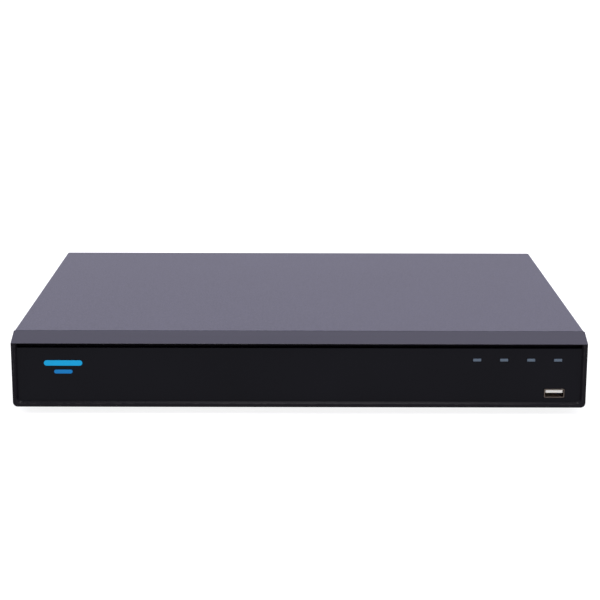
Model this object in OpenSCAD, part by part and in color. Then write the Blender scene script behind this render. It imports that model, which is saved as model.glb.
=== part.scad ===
// Sixteen-channel video recorder in a slim sheet-steel case.
// Millimetres, +Z up, front towards -Y, origin on the table under the centre of the object.

/* [Case] */
// Width across the front bezel
bezel_w = 375; // [372:0.5:378]
// Front of the bezel to the back of the cover
body_d = 272; // [272:0.5:276]
// Height of the upright front of the bezel
front_h = 43; // [42.5:0.1:44]
// Height that the sloping strip climbs from the front to the cover
slope_rise = 5.2; // [4.8:0.1:5.6]
// Depth of the sloping strip
slope_run = 14.4; // [14:0.1:15]
// Clear height under the case
foot_clear = 4.8; // [4.8:0.1:6]
// How far the longest rear connectors stand out behind the cover
port_reach = 12; // [12:0.5:14]
// Thickness of the sheet steel
sheet = 1; // [0.8:0.1:1]
// Clear gap between the cover and the chassis
slide_gap = 0.4; // [0.4:0.05:0.5]

/* [Front] */
// Width of the flat rim of the bezel
rim_w = 2.5; // [2:0.1:3]
// Width and depth of the bevel inside the rim
rim_bevel = 1.6; // [1.2:0.1:1.8]
// Wall of the moulded bezel
bezel_wall = 2.2; // [2:0.1:2.4]
// Width of an indicator window
window_w = 5.4; // [4.5:0.1:6]
// Height of an indicator window
window_h = 2.1; // [1.6:0.1:2.4]
// Distance between indicator windows
window_pitch = 17.6; // [16:0.1:18]

/* [Rear] */
// Columns of camera inputs, two rows high
bnc_columns = 8; // [4:1:8]
// Distance between camera input columns
bnc_pitch_x = 15; // [14.5:0.1:15]
// Distance between the two rows of inputs
bnc_pitch_z = 15.5; // [15:0.1:15.5]
// Ways on the alarm plug
alarm_ways = 8; // [6:1:8]

/* [Drive] */
// Length of a 3.5 inch drive
drive_l = 147; // [146:0.5:147]
// Width of a 3.5 inch drive
drive_w = 101.6; // [101:0.1:101.6]
// Height of a 3.5 inch drive
drive_h = 26.1; // [25.4:0.1:26.1]
// Angle that the actuator is turned from its park position
actuator_turn = 0; // [0:1:32]

/* [Hidden] */
$fn = 48;
total_d = body_d + port_reach;
y_front = -total_d / 2;
y_back = y_front + body_d;
case_top = foot_clear + front_h + slope_rise;
cover_w = bezel_w - 0.2;
seam_gap = 0.5;
y_bezel_back = y_front + slope_run;
y_cover = y_bezel_back + seam_gap;
// Chassis
floor_z = foot_clear + sheet + slide_gap;
floor_top = floor_z + sheet;
pan_w = cover_w - 2 * sheet - 1;
pan_y0 = y_bezel_back + 0.4;
panel_out = y_back - sheet - slide_gap;
panel_in = panel_out - sheet;
panel_top = case_top - sheet - slide_gap;
flange_top = floor_top + 18;
front_flange_h = 17;
// Fascia and front board
recess = rim_bevel + 0.3;
fascia_y = y_front + recess;
strip_wall = 1.5;
rib_t = 1.6;
// The dark channel between the fascia and the strip that overhangs it
channel_d = 5;
channel_h = 3.3;
fascia_t = 1.8;
channel_back = fascia_y + channel_d + fascia_t;
board_y = fascia_y + 14.3;
board_t = 1.6;
usb_x = 166.9;
usb_z = foot_clear + 9.5;
window_x0 = 115.8;
window_z = foot_clear + 31.9;
windows = [for (i = [0:3]) window_x0 + i * window_pitch];
badge_x = -153.9;
badge_z = foot_clear + 26.8;
badge_t = 0.5;
bezel_screw_xs = [-170, -60, 70];
bezel_screw_z = floor_top + 9;
front_board_x = [84, 182];
front_board_z = [floor_top + 1.6, case_top - 9];
// Mainboard
board_rise = 5;
board_z = floor_top + board_rise;
deck = board_z + board_t;
main_x = [-152, 137];
main_y = [20, panel_in - 1];
main_holes = [for (x = [-146, -8, 131], y = [26, 104]) [x, y]];
// Screws
m3_shank = 1.5;
m3_tap = 1.55;
m3_clear = 1.7;
m3_head_r = 2.8;
m3_head_h = 1.9;
// Rear connectors, seen from above: the x of each centre
fan_x = 160.5;
fan_z = floor_top + 20.3;
fan_size = 40;
fan_t = 10;
fan_holes = [for (sx = [-1, 1], sz = [-1, 1]) [fan_x + sx * 16, fan_z + sz * 16]];
bnc_x0 = 126;
bnc_xs = [for (i = [0:bnc_columns - 1]) bnc_x0 - i * bnc_pitch_x];
low_row_z = deck + 7.9;
bnc_zs = [low_row_z, low_row_z + bnc_pitch_z];
rca_xs = [-1, -15];
vga_x = -42;
vga_z = deck + 6.5;
vga_screw_pitch = 25;
hdmi_x = -68.5;
lan_x = -88.5;
alarm_x = -118;
alarm_pitch = 3.81;
dc_x = -145;
dc_z = deck + 5.5;
rocker_x = -168;
rocker_z = floor_top + 22;
ground_x = -145;
ground_z = deck + 24;
cover_screw_z = case_top - 4.4;
cover_screw_xs = [-170, -19, 132];
// Drive and spare bay
bay_lift = 4;
drive_z = floor_top + bay_lift;
drive_x0 = -177;
drive_y0 = -115.6;
spare_x0 = 30;
drive_hole_end = 41.28;
drive_hole_dx = 44.45;
drive_hole_dy = 95.25;
spindle = [52, drive_w / 2];
pivot = [110, 30];
arm_len = 52;
park_angle = 110.3;
platter_r = 47.5;
hub_r = 13;

// ---------------------------------------------------------------- helpers

// A box between two opposite corners.
module block(low, high) {
    translate(low) cube(high - low);
}

// A rod along Y.
module rod_y(x, z, y0, y1, r) {
    translate([x, y0, z]) rotate([-90, 0, 0]) cylinder(h = y1 - y0, r = r);
}

// A rod along X.
module rod_x(y, z, x0, x1, r) {
    translate([x0, y, z]) rotate([0, 90, 0]) cylinder(h = x1 - x0, r = r);
}

// A rectangle with round corners, centred.
module round_rect(w, h, r) {
    square([w - 2 * r, h], center = true);
    square([w, h - 2 * r], center = true);
    for (sx = [-1, 1], sy = [-1, 1])
        translate([sx * (w / 2 - r), sy * (h / 2 - r)]) circle(r);
}

// A slot with round ends along its first axis, centred.
module slot_shape(l, w) {
    square([l - w, w], center = true);
    for (s = [-1, 1]) translate([s * (l - w) / 2, 0]) circle(w / 2);
}

// Extrudes a shape drawn in X and Z along Y.
module along_y(y0, y1) {
    translate([0, y1, 0]) rotate([90, 0, 0]) linear_extrude(y1 - y0) children();
}

// A screw with its head's underside at the origin, its shank towards -Z.
module screw(head_r, head_h, shank_r, shank_l) {
    difference() {
        union() {
            cylinder(h = head_h * 0.6, r = head_r);
            translate([0, 0, head_h * 0.6]) cylinder(h = head_h * 0.4, r1 = head_r, r2 = head_r * 0.72);
        }
        translate([0, 0, head_h - 1]) for (a = [0, 90]) rotate(a)
            block([-head_r * 0.6, -0.4, 0], [head_r * 0.6, 0.4, 1.2]);
    }
    translate([0, 0, -shank_l]) cylinder(h = shank_l, r = shank_r);
}

module m3_screw(length = 5) {
    screw(m3_head_r, m3_head_h, m3_shank, length);
}

// Points of a smooth curve through the route, with steps between its points.
function bend(p0, p1, p2, p3, t) =
    0.5 * (2 * p1 + (p2 - p0) * t + (2 * p0 - 5 * p1 + 4 * p2 - p3) * t * t
        + (3 * p1 - p0 - 3 * p2 + p3) * t * t * t);
function smooth(p, steps) = let (n = len(p)) concat(
    [for (i = [0:n - 2], s = [0:steps - 1])
        bend(p[max(0, i - 1)], p[i], p[i + 1], p[min(n - 1, i + 2)], s / steps)],
    [p[n - 1]]);
function unit(v) = v / norm(v);

// A tube swept along the points, with side as a direction that the route never follows.
module tube(points, r, side = [0, 0, 1], sides = 8) {
    n = len(points);
    ring = [for (i = [0:n - 1])
        let (t = unit(points[min(n - 1, i + 1)] - points[max(0, i - 1)]),
             u = unit(cross(side, t)), v = cross(t, u))
        for (k = [0:sides - 1])
            points[i] + r * (cos(360 * k / sides) * u + sin(360 * k / sides) * v)];
    faces = concat(
        [[for (k = [0:sides - 1]) k]],
        [for (i = [0:n - 2], k = [0:sides - 1])
            let (a = i * sides + k, b = i * sides + (k + 1) % sides)
            [a, a + sides, b + sides, b]],
        [[for (k = [sides - 1:-1:0]) (n - 1) * sides + k]]);
    polyhedron(points = ring, faces = faces, convexity = 6);
}

// ---------------------------------------------------------------- chassis

// The places of a drive's four bottom screws, for a drive whose corner is at x0.
function bay_holes(x0, connector_side) = [
    for (i = [0, 1], j = [-1, 1]) [
        x0 + (connector_side > 0 ? drive_l - drive_hole_end - i * drive_hole_dx
                                 : drive_hole_end + i * drive_hole_dx),
        drive_y0 + drive_w / 2 + j * drive_hole_dy / 2]];
all_bay_holes = concat(bay_holes(drive_x0, 1), bay_holes(spare_x0, -1));

module base_pan() {
    window = [front_board_x[0] - 3, pan_w / 2 - 4];
    color("silver") difference() {
        union() {
            block([-pan_w / 2, pan_y0, floor_z], [pan_w / 2, panel_in, floor_top]);
            for (s = [-1, 1]) {
                x = s * (pan_w / 2 - sheet / 2);
                block([x - sheet / 2, pan_y0, floor_z], [x + sheet / 2, panel_in, flange_top]);
            }
            block([-pan_w / 2, pan_y0, floor_z],
                [pan_w / 2, pan_y0 + sheet, floor_top + front_flange_h]);
            for (p = all_bay_holes) translate([p[0], p[1], floor_top])
                cylinder(h = bay_lift, r = 4.2);
        }
        block([window[0], pan_y0 - 1, floor_top + 0.5],
            [window[1], pan_y0 + sheet + 1, flange_top + 9]);
        for (p = all_bay_holes) translate([p[0], p[1], floor_z - 1])
            cylinder(h = bay_lift + sheet + 2, r = 1.9);
        for (x = bezel_screw_xs) rod_y(x, bezel_screw_z, pan_y0 - 1, pan_y0 + sheet + 1, m3_clear);
        // Ventilation slots under the mainboard.
        for (x = [-110:12:100], y = [50, 80]) translate([x, y, floor_z - 1])
            rotate(90) linear_extrude(sheet + 2) slot_shape(18, 3);
    }
}

module rear_panel() {
    hole_r_bnc = 6.1;
    color("dimgray") difference() {
        union() {
            block([-pan_w / 2, panel_in, floor_z], [pan_w / 2, panel_out, panel_top]);
            block([-pan_w / 2 + 8, panel_in - 9, floor_top], [fan_x - 24, panel_in, floor_top + sheet]);
            block([-pan_w / 2 + 8, panel_in - 6, panel_top - sheet],
                [pan_w / 2 - 8, panel_in, panel_top]);
        }
        y0 = panel_in - 1;
        y1 = panel_out + 1;
        for (x = bnc_xs, z = bnc_zs) rod_y(x, z, y0, y1, hole_r_bnc);
        for (x = rca_xs, z = bnc_zs) rod_y(x, z, y0, y1, 5.8);
        for (x = cover_screw_xs) rod_y(x, cover_screw_z, y0, y1, m3_shank + 0.3);
        // Display connector with its two jack screws.
        block([vga_x - 9, y0, vga_z - 4.7], [vga_x + 9, y1, vga_z + 4.7]);
        for (s = [-1, 1]) rod_y(vga_x + s * vga_screw_pitch / 2, vga_z, y0, y1, 1.7);
        block([hdmi_x - 7.9, y0, deck - 0.1], [hdmi_x + 7.9, y1, deck + 6.5]);
        block([lan_x - 8.5, y0, deck - 0.3], [lan_x + 8.5, y1, deck + 30]);
        block([alarm_x - 16.9, y0, deck - 0.7], [alarm_x + 16.9, y1, deck + 9.2]);
        rod_y(dc_x, dc_z, y0, y1, 4.7);
        block([rocker_x - 6.6, y0, rocker_z - 9.6], [rocker_x + 6.6, y1, rocker_z + 9.6]);
        rod_y(ground_x, ground_z, y0, y1, 2.05);
        // Finger guard in front of the fan: three rings of slots.
        along_y(y0, y1) translate([fan_x, fan_z]) difference() {
            for (r = [6, 11, 16]) difference() {
                circle(r + 1.6);
                circle(r - 1.6);
            }
            for (a = [45, 135]) rotate(a) square([50, 2.2], center = true);
        }
        for (p = fan_holes) rod_y(p[0], p[1], y0, y1, 2.3);
        // Vents over the small connectors, left and right of the network socket.
        for (x = concat([-132:6:-102], [-73:6:-31])) along_y(y0, y1)
            translate([x, case_top - 13]) rotate(90) slot_shape(9, 2.4);
    }
}

module rubber_feet() {
    color("black") for (x = [-150, 150], y = [-104, 102]) translate([x, y, 0]) {
        cylinder(h = 0.8, r1 = 8.4, r2 = 9);
        translate([0, 0, 0.8]) cylinder(h = floor_z - 0.8, r = 9);
    }
}

module board_standoffs() {
    color("silver") for (p = main_holes) translate([p[0], p[1], floor_top]) difference() {
        cylinder(h = board_rise, r = 3.18, $fn = 6);
        translate([0, 0, -1]) cylinder(h = board_rise + 2, r = m3_tap);
    }
}

module chassis_screws() {
    color("silver") {
        for (p = main_holes) translate([p[0], p[1], deck]) m3_screw(5.5);
        for (x = bezel_screw_xs) translate([x, pan_y0 + sheet, bezel_screw_z])
            rotate([-90, 0, 0]) m3_screw(6);
        for (x = front_board_bosses) translate([x[0], board_y + board_t, x[1]])
            rotate([-90, 0, 0]) m3_screw(5.5);
    }
}

// ---------------------------------------------------------------- front

front_board_bosses = [[88, window_z - 3], [178, window_z - 7.5]];

// Height of the sloping strip's top at a distance behind the front.
function strip_z(back) = foot_clear + front_h + slope_rise * back / slope_run;

// Outline of the bezel seen from the side, drawn in Y and Z, between two distances behind
// the front, with the floor raised by t and the top lowered by drop.
module bezel_side(from, to, t, drop) {
    polygon([
        [y_front + from, foot_clear + t], [y_front + from, strip_z(from) - drop],
        [y_front + to, strip_z(to) - drop], [y_front + to, foot_clear + t]]);
}

// Outline of the bezel seen from the front, drawn in X and Z, inset by t.
module bezel_front(t) {
    r = 3.2 - t * 0.8;
    w = bezel_w - 2 * t;
    translate([-w / 2, foot_clear + t + r]) square([w, front_h + slope_rise + 4]);
    translate([-w / 2 + r, foot_clear + t]) square([w - 2 * r, r + 1]);
    for (s = [-1, 1]) translate([s * (w / 2 - r), foot_clear + t + r]) circle(r);
}

module bezel_solid(from, to, t, drop) {
    intersection() {
        translate([-bezel_w / 2 + t, 0, 0]) rotate([90, 0, 90])
            linear_extrude(bezel_w - 2 * t) bezel_side(from, to, t, drop);
        along_y(y_front - 1, y_bezel_back + 2) bezel_front(t);
    }
}

// The opening of the bezel: bevelled at the sides and the bottom, with a thin edge at the top.
module bezel_opening() {
    hull() {
        for (d = [[0, -0.01, 0.02, 0.3], [rim_bevel, rim_bevel, 0.6, 1.2]]) {
            half = bezel_w / 2 - rim_w - d[0];
            low = foot_clear + rim_w + d[0];
            high = foot_clear + front_h - d[3];
            r = 3 - d[0] * 0.6;
            along_y(y_front + d[1], y_front + d[1] + d[2]) {
                translate([-half, low + r]) square([2 * half, high - low - r]);
                for (s = [-1, 1]) translate([s * (half - r), low + r]) circle(r, $fn = 32);
            }
        }
    }
}

// Cuts one upper front corner off the bezel at equal angles.
module corner_cut(side) {
    c = 1.4;
    translate([side * bezel_w / 2, y_front, foot_clear + front_h]) rotate([0, 0, side * 45])
        rotate([35.26, 0, 0]) block([-5, -5, -c * 0.577], [5, 0, 5]);
}

module front_bezel() {
    color([0.1, 0.1, 0.12]) difference() {
        union() {
            difference() {
                bezel_solid(0, slope_run, 0, 0);
                bezel_solid(recess, slope_run + 1, bezel_wall, strip_wall);
            }
            // Screw bosses down to the chassis and for the front board.
            for (x = bezel_screw_xs) rod_y(x, bezel_screw_z, fascia_y + fascia_t + 0.2, pan_y0, 3.6);
            for (p = front_board_bosses) rod_y(p[0], p[1], fascia_y + fascia_t + 0.2, board_y, 3.4);
            // Ribs that carry the bosses behind the fascia.
            for (x = bezel_screw_xs)
                block([x - rib_t / 2, fascia_y + fascia_t + 0.2, foot_clear + 1.5],
                    [x + rib_t / 2, y_bezel_back, floor_top + 7]);
            for (p = front_board_bosses) block([p[0] - rib_t / 2, channel_back + 0.2, p[1] + 2],
                [p[0] + rib_t / 2, y_bezel_back - 1, case_top - 2.5]);
        }
        bezel_opening();
        for (s = [-1, 1]) corner_cut(s);
        for (x = bezel_screw_xs) rod_y(x, bezel_screw_z, pan_y0 - 7, pan_y0 + 1, m3_tap);
        for (p = front_board_bosses) rod_y(p[0], p[1], board_y - 7, board_y + 1, m3_tap);
    }
}

module fascia_panel() {
    low = foot_clear + bezel_wall + 0.2;
    step = foot_clear + front_h - channel_h;
    high = strip_z(recess + channel_d) - strip_wall - 0.15;
    w = bezel_w - 2 * bezel_wall - 0.4;
    color([0.05, 0.05, 0.06]) difference() {
        intersection() {
            translate([-w / 2, fascia_y, 0]) rotate([90, 0, 90]) linear_extrude(w) polygon([
                [0, low], [0, step], [channel_d, step], [channel_d, high], [channel_d + fascia_t, high],
                [channel_d + fascia_t, step - fascia_t], [fascia_t, step - fascia_t], [fascia_t, low]]);
            along_y(fascia_y - 1, channel_back) translate([0, (low + high) / 2])
                round_rect(w, high - low, 2);
        }
        for (x = windows)
            block([x - window_w / 2, fascia_y - 1, window_z - window_h / 2],
                [x + window_w / 2, fascia_y + fascia_t + 1, window_z + window_h / 2]);
        block([usb_x - 6.8, fascia_y - 1, usb_z - 3.1],
            [usb_x + 6.8, fascia_y + fascia_t + 1, usb_z + 3.1]);
    }
}

// A plain two-tone mark: a long bar over a short one.
module badge() {
    color("deepskyblue") for (bar = [[25, 3.6, 2.7], [12, 2.6, -3.1]])
        along_y(fascia_y - badge_t, fascia_y) translate([badge_x, badge_z + bar[2]])
            slot_shape(bar[0], bar[1]);
}

module light_pipe() {
    bar_y = board_y - 4.3;
    color("lightsteelblue") {
        for (x = windows) block([x - window_w / 2 + 0.1, fascia_y, window_z - window_h / 2 + 0.1],
            [x + window_w / 2 - 0.1, bar_y, window_z + window_h / 2 - 0.1]);
        block([windows[0] - 4, bar_y, window_z - 2], [windows[3] + 4, bar_y + 3, window_z + 2]);
    }
}

module indicator_leds() {
    color("white") for (x = windows)
        block([x - 1.6, board_y - 0.9, window_z - 0.8], [x + 1.6, board_y, window_z + 0.8]);
}

module front_board() {
    color("darkgreen") difference() {
        block([front_board_x[0], board_y, front_board_z[0]],
            [front_board_x[1], board_y + board_t, front_board_z[1]]);
        for (p = front_board_bosses) rod_y(p[0], p[1], board_y - 1, board_y + board_t + 1, m3_clear);
    }
    color("ivory") block([92, board_y + board_t, 15.5], [104, board_y + board_t + 5.5, 21.5]);
}

// A USB receptacle that faces -Y: the shell's outside is 13.1 by 5.7.
module front_usb_shell() {
    wall = 0.35;
    color("silver") difference() {
        along_y(fascia_y, board_y) translate([usb_x, usb_z]) round_rect(13.1, 5.7, 0.6);
        along_y(fascia_y - 1, board_y - 1) translate([usb_x, usb_z])
            round_rect(13.1 - 2 * wall, 5.7 - 2 * wall, 0.3);
    }
}

module front_usb_tongue() {
    color("white")
        block([usb_x - 5.55, fascia_y + 0.9, usb_z + 0.1], [usb_x + 5.55, board_y - 1, usb_z + 1.94]);
    color("gold") for (i = [-1.5:1:1.5])
        block([usb_x + i * 2.4 - 0.5, fascia_y + 1.6, usb_z - 0.1],
            [usb_x + i * 2.4 + 0.5, board_y - 1, usb_z + 0.1]);
}

// ---------------------------------------------------------------- cover

module top_cover() {
    h = case_top - foot_clear;
    hem = 6;
    lip_h = 8;
    color([0.2, 0.2, 0.22]) difference() {
        union() {
            along_y(y_cover, y_back) translate([0, foot_clear + h / 2]) difference() {
                round_rect(cover_w, h, 1.6);
                round_rect(cover_w - 2 * sheet, h - 2 * sheet, 0.6);
                translate([0, -h / 2]) square([cover_w - 2 * hem, 2 * sheet + 1], center = true);
            }
            block([-cover_w / 2 + 2, y_back - sheet, case_top - lip_h],
                [cover_w / 2 - 2, y_back, case_top - sheet / 2]);
        }
        for (x = cover_screw_xs) rod_y(x, cover_screw_z, y_back - sheet - 1, y_back + 1, m3_clear);
        // Notches in the lip clear the fan's screws.
        for (p = fan_holes) rod_y(p[0], p[1], y_back - sheet - 1, y_back + 1, 4.4);
        // One cutter opens the same slot in both sides.
        for (i = [0:21]) translate([-cover_w / 2 - 1, -42 + i * 6.2, foot_clear + h / 2 + 1])
            rotate([90, 0, 90]) linear_extrude(cover_w + 2) rotate(90) slot_shape(20, 2.6);
    }
}

module cover_screws() {
    color("silver") for (x = cover_screw_xs) translate([x, y_back, cover_screw_z])
        rotate([-90, 0, 0]) m3_screw(6);
}

// ---------------------------------------------------------------- mainboard

module mainboard() {
    color("darkgreen") difference() {
        block([main_x[0], main_y[0], board_z], [main_x[1], main_y[1], deck]);
        for (p = main_holes) translate([p[0], p[1], board_z - 1]) cylinder(h = board_t + 2, r = m3_clear);
    }
}

cpu = [-38, 68];
module main_processor() {
    color("dimgray") block([cpu[0] - 14, cpu[1] - 14, deck], [cpu[0] + 14, cpu[1] + 14, deck + 2]);
}

module heat_sink() {
    half = 21;
    color("gray") {
        difference() {
            block([cpu[0] - half, cpu[1] - half, deck + 2], [cpu[0] + half, cpu[1] + half, deck + 17]);
            for (i = [0:8]) {
                x = cpu[0] - half + 1.2 + i * 4.65;
                block([x, cpu[1] - half - 1, deck + 5], [x + 3.4, cpu[1] + half + 1, deck + 18]);
            }
        }
    }
}

module memory_chips() {
    color("dimgray") for (p = [[-76, 52], [-76, 66], [-76, 80], [0, 60], [0, 76]])
        block([p[0] - 6.5, p[1] - 4.5, deck], [p[0] + 6.5, p[1] + 4.5, deck + 1.2]);
}

module video_decoders() {
    color("dimgray") for (x = [31, 56, 81, 106])
        block([x - 7, 80, deck], [x + 7, 94, deck + 1.6]);
}

module capacitors() {
    color("gray") for (c = [[-130, 98, 5, 12.5], [-118, 98, 5, 12.5], [-130, 84, 4, 11], [-119, 84, 4, 11],
            [-100, 92, 4, 9], [28, 52, 4, 9], [120, 66, 4, 9], [-20, 32, 5, 12.5]])
        translate([c[0], c[1], deck]) {
            cylinder(h = c[3] - 0.8, r = c[2]);
            translate([0, 0, c[3] - 0.8]) cylinder(h = 0.8, r1 = c[2], r2 = c[2] - 0.5);
        }
}

module inductors() {
    color("dimgray") for (p = [[-134, 64], [-120, 64], [-106, 64], [-134, 46]])
        translate([p[0], p[1], deck]) linear_extrude(4.2) round_rect(9, 9, 2);
}

module coin_cell() {
    color("silver") translate([72, 46, deck + 1.4]) cylinder(h = 3.2, r = 10);
}

module coin_cell_holder() {
    color("black") translate([72, 46, deck]) difference() {
        union() {
            cylinder(h = 4, r = 12);
            block([-7, -15, 0], [7, 15, 4]);
        }
        translate([0, 0, 1.4]) cylinder(h = 4, r = 10.1);
    }
}

sata_spots = [[-6, 42], [12, 42]];
module sata_headers() {
    color("royalblue") for (p = sata_spots) translate([p[0], p[1], deck]) difference() {
        block([-3, -8.5, 0], [3, 8.5, 8.8]);
        block([-1.6, -5.5, 1.5], [1.6, 5.5, 10]);
    }
}

// Shrouded wire headers: two for drive power, then front board, fan and switch.
power_spot = [-62, 28];
power_spot_2 = [-86, 28];
front_spot = [40, 28];
fan_spot = [129, 92];
switch_spot = [-145, 82];
module wire_headers() {
    color("ivory") for (h = [[power_spot, 6, 3.2], [power_spot_2, 6, 3.2], [front_spot, 7, 3],
            [fan_spot, 3.2, 2.6], [switch_spot, 3.2, 2.6]])
        translate([h[0][0], h[0][1], deck]) difference() {
            block([-h[1], -h[2], 0], [h[1], h[2], 7]);
            block([-h[1] + 0.8, -h[2] + 0.8, 5.4], [h[1] - 0.8, h[2] - 0.8, 8]);
        }
}

module buzzer() {
    color("black") translate([104, 44, deck]) difference() {
        cylinder(h = 8.5, r = 6);
        translate([0, 0, 6]) cylinder(h = 4, r = 1.2);
    }
}

// ---------------------------------------------------------------- rear connectors

module bnc_housing() {
    half = bnc_pitch_x / 2;
    face = panel_in - 0.4;
    color("black") difference() {
        block([bnc_xs[bnc_columns - 1] - half, face - 19, deck], [bnc_x0 + half, face, bnc_zs[1] + half]);
        // Each column is its own moulding, with a thin groove between neighbours.
        for (x = bnc_xs) if (x < bnc_x0)
            block([x + half - 0.2, face - 1, deck - 1], [x + half + 0.2, face + 1, bnc_zs[1] + half + 1]);
    }
}

bnc_face = panel_in - 0.4;
bnc_tip = y_back + port_reach;
module bnc_jacks() {
    color("silver") for (x = bnc_xs, z = bnc_zs) {
        difference() {
            union() {
                rod_y(x, z, bnc_face, bnc_tip, 4.8);
                rod_y(x, z, bnc_face, bnc_face + 3.6, 5.6);
                // Bayonet lugs.
                rod_x(bnc_tip - 4.6, z, x - 5.5, x + 5.5, 1);
            }
            rod_y(x, z, bnc_face + 2, bnc_tip + 1, 4.05);
        }
    }
}

module bnc_insulators() {
    color("ivory") for (x = bnc_xs, z = bnc_zs) difference() {
        rod_y(x, z, bnc_face + 2, bnc_tip - 5, 2.4);
        rod_y(x, z, bnc_face + 3, bnc_tip, 1);
    }
}

module bnc_contacts() {
    color("gold") for (x = bnc_xs, z = bnc_zs) difference() {
        rod_y(x, z, bnc_face + 3, bnc_tip - 5.4, 0.95);
        rod_y(x, z, bnc_face + 5, bnc_tip, 0.5);
    }
}

rca_face = panel_out + 0.6;
rca_tip = rca_face + 8.4;
module rca_housing() {
    mid = (rca_xs[0] + rca_xs[1]) / 2;
    color("black") union() {
        block([mid - 14, bnc_face - 15, deck], [mid + 14, bnc_face, bnc_zs[1] + 6.5]);
        for (x = rca_xs, z = bnc_zs) rod_y(x, z, bnc_face - 1, rca_face, 5.4);
    }
}

module rca_jacks() {
    color("silver") for (x = rca_xs, z = bnc_zs) difference() {
        rod_y(x, z, rca_face, rca_tip, 4.15);
        rod_y(x, z, rca_face - 1, rca_tip + 1, 3.35);
    }
}

module rca_inserts() {
    color("white") for (x = rca_xs, z = bnc_zs) difference() {
        rod_y(x, z, rca_face, rca_tip - 0.3, 3.3);
        rod_y(x, z, rca_face + 0.8, rca_tip + 1, 1.65);
    }
}

// Outline of a D connector, wide side up, drawn in X and Z.
module d_outline(w, h, r) {
    lean = h * 0.18;
    hull() {
        for (s = [-1, 1]) {
            translate([s * (w / 2 - r), h / 2 - r]) circle(r, $fn = 24);
            translate([s * (w / 2 - r - lean), -h / 2 + r]) circle(r, $fn = 24);
        }
    }
}

module vga_shell() {
    color("silver") {
        difference() {
            along_y(panel_in - 1, panel_in) translate([vga_x, vga_z]) round_rect(31, 12.5, 1);
            for (s = [-1, 1])
                rod_y(vga_x + s * vga_screw_pitch / 2, vga_z, panel_in - 2, panel_in + 1, 1.7);
            block([vga_x - 6.3, panel_in - 2, vga_z - 2.8], [vga_x + 6.3, panel_in + 1, vga_z + 2.8]);
        }
        translate([vga_x, 0, vga_z]) difference() {
            along_y(panel_in, panel_out + 5.4) d_outline(16.4, 8.3, 2.2);
            along_y(panel_in - 1, panel_out + 6) d_outline(15.4, 7.3, 1.8);
        }
    }
}

module vga_insert() {
    color("mediumblue") translate([vga_x, 0, vga_z]) difference() {
        union() {
            along_y(panel_in + 0.05, panel_out + 5.2) d_outline(15.2, 7.1, 1.7);
            along_y(panel_in - 12, panel_in - 1) translate([0, 0.15]) square([30, 13.2], center = true);
            along_y(panel_in - 2, panel_in + 0.06) square([12, 5], center = true);
        }
        for (row = [-1:1], i = [-2:2])
            rod_y(i * 2.29 + (row == 0 ? 1.1 : 0) - 0.4, row * 1.98, panel_out, panel_out + 6, 0.5);
        for (s = [-1, 1]) rod_y(s * vga_screw_pitch / 2, 0, panel_in - 7, panel_in, 1.6);
    }
}

module vga_jack_screws() {
    color("silver") for (s = [-1, 1]) translate([vga_x + s * vga_screw_pitch / 2, 0, vga_z]) difference() {
        union() {
            rotate([-90, 0, 0]) translate([0, 0, panel_out]) cylinder(h = 5, r = 2.75, $fn = 6);
            rod_y(0, 0, panel_in - 5, panel_out, 1.45);
        }
        rod_y(0, 0, panel_out + 0.4, panel_out + 6, 1.25);
    }
}

// Outline of a display socket with its two lower corners cut off.
module hdmi_outline(w, h, cut) {
    polygon([[-w / 2, h / 2], [w / 2, h / 2], [w / 2, -h / 2 + cut], [w / 2 - cut, -h / 2],
        [-w / 2 + cut, -h / 2], [-w / 2, -h / 2 + cut]]);
}

hdmi_z = deck + 3.2;
module hdmi_shell() {
    color("silver") translate([hdmi_x, 0, hdmi_z]) difference() {
        along_y(panel_in - 11, panel_out + 1) hdmi_outline(15, 5.9, 1.7);
        along_y(panel_in - 10, panel_out + 2) hdmi_outline(14.2, 5.1, 1.5);
    }
}

module hdmi_tongue() {
    color("black") translate([hdmi_x, 0, hdmi_z]) union() {
        block([-5.3, panel_in - 9, -0.5], [5.3, panel_out - 0.6, 0.7]);
        along_y(panel_in - 10, panel_in - 8) hdmi_outline(14, 4.9, 1.4);
    }
}

// Two USB sockets under a network socket in one shell.
lan_w = 16.2;
lan_h = 29.3;
lan_depth = 20;
usb_rows = [deck + 4.1, deck + 11.6];
lan_socket_z = deck + 22.3;
module lan_openings(extra, y0) {
    for (z = usb_rows)
        block([lan_x - 6.3, y0, z - 2.6], [lan_x + 6.3, panel_out + 2, z + 2.6]);
    block([lan_x - 5.9 - extra, y0, lan_socket_z - 5.2 - extra],
        [lan_x + 5.9 + extra, panel_out + 2, lan_socket_z + 2.4 + extra]);
    block([lan_x - 3.1 - extra, y0, lan_socket_z],
        [lan_x + 3.1 + extra, panel_out + 2, lan_socket_z + 4.2 + extra]);
}

module lan_usb_shell() {
    y0 = panel_out + 1 - lan_depth;
    y1 = panel_out + 1;
    color("silver") difference() {
        block([lan_x - lan_w / 2, y0, deck], [lan_x + lan_w / 2, y1, deck + lan_h]);
        block([lan_x - lan_w / 2 + 0.4, y0 - 1, deck - 1],
            [lan_x + lan_w / 2 - 0.4, y1 - 0.4, deck + lan_h - 0.4]);
        lan_openings(0.4, y1 - 2);
    }
}

module lan_usb_insert() {
    y0 = panel_out + 1 - lan_depth;
    y1 = panel_out + 0.5;
    color("black") {
        difference() {
            block([lan_x - lan_w / 2 + 0.5, y0, deck + 0.1],
                [lan_x + lan_w / 2 - 0.5, y1, deck + lan_h - 0.5]);
            lan_openings(0, y1 - 12.5);
        }
        for (z = usb_rows) block([lan_x - 5.5, y1 - 12.5, z + 0.1], [lan_x + 5.5, y1 - 0.8, z + 1.9]);
    }
}

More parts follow.
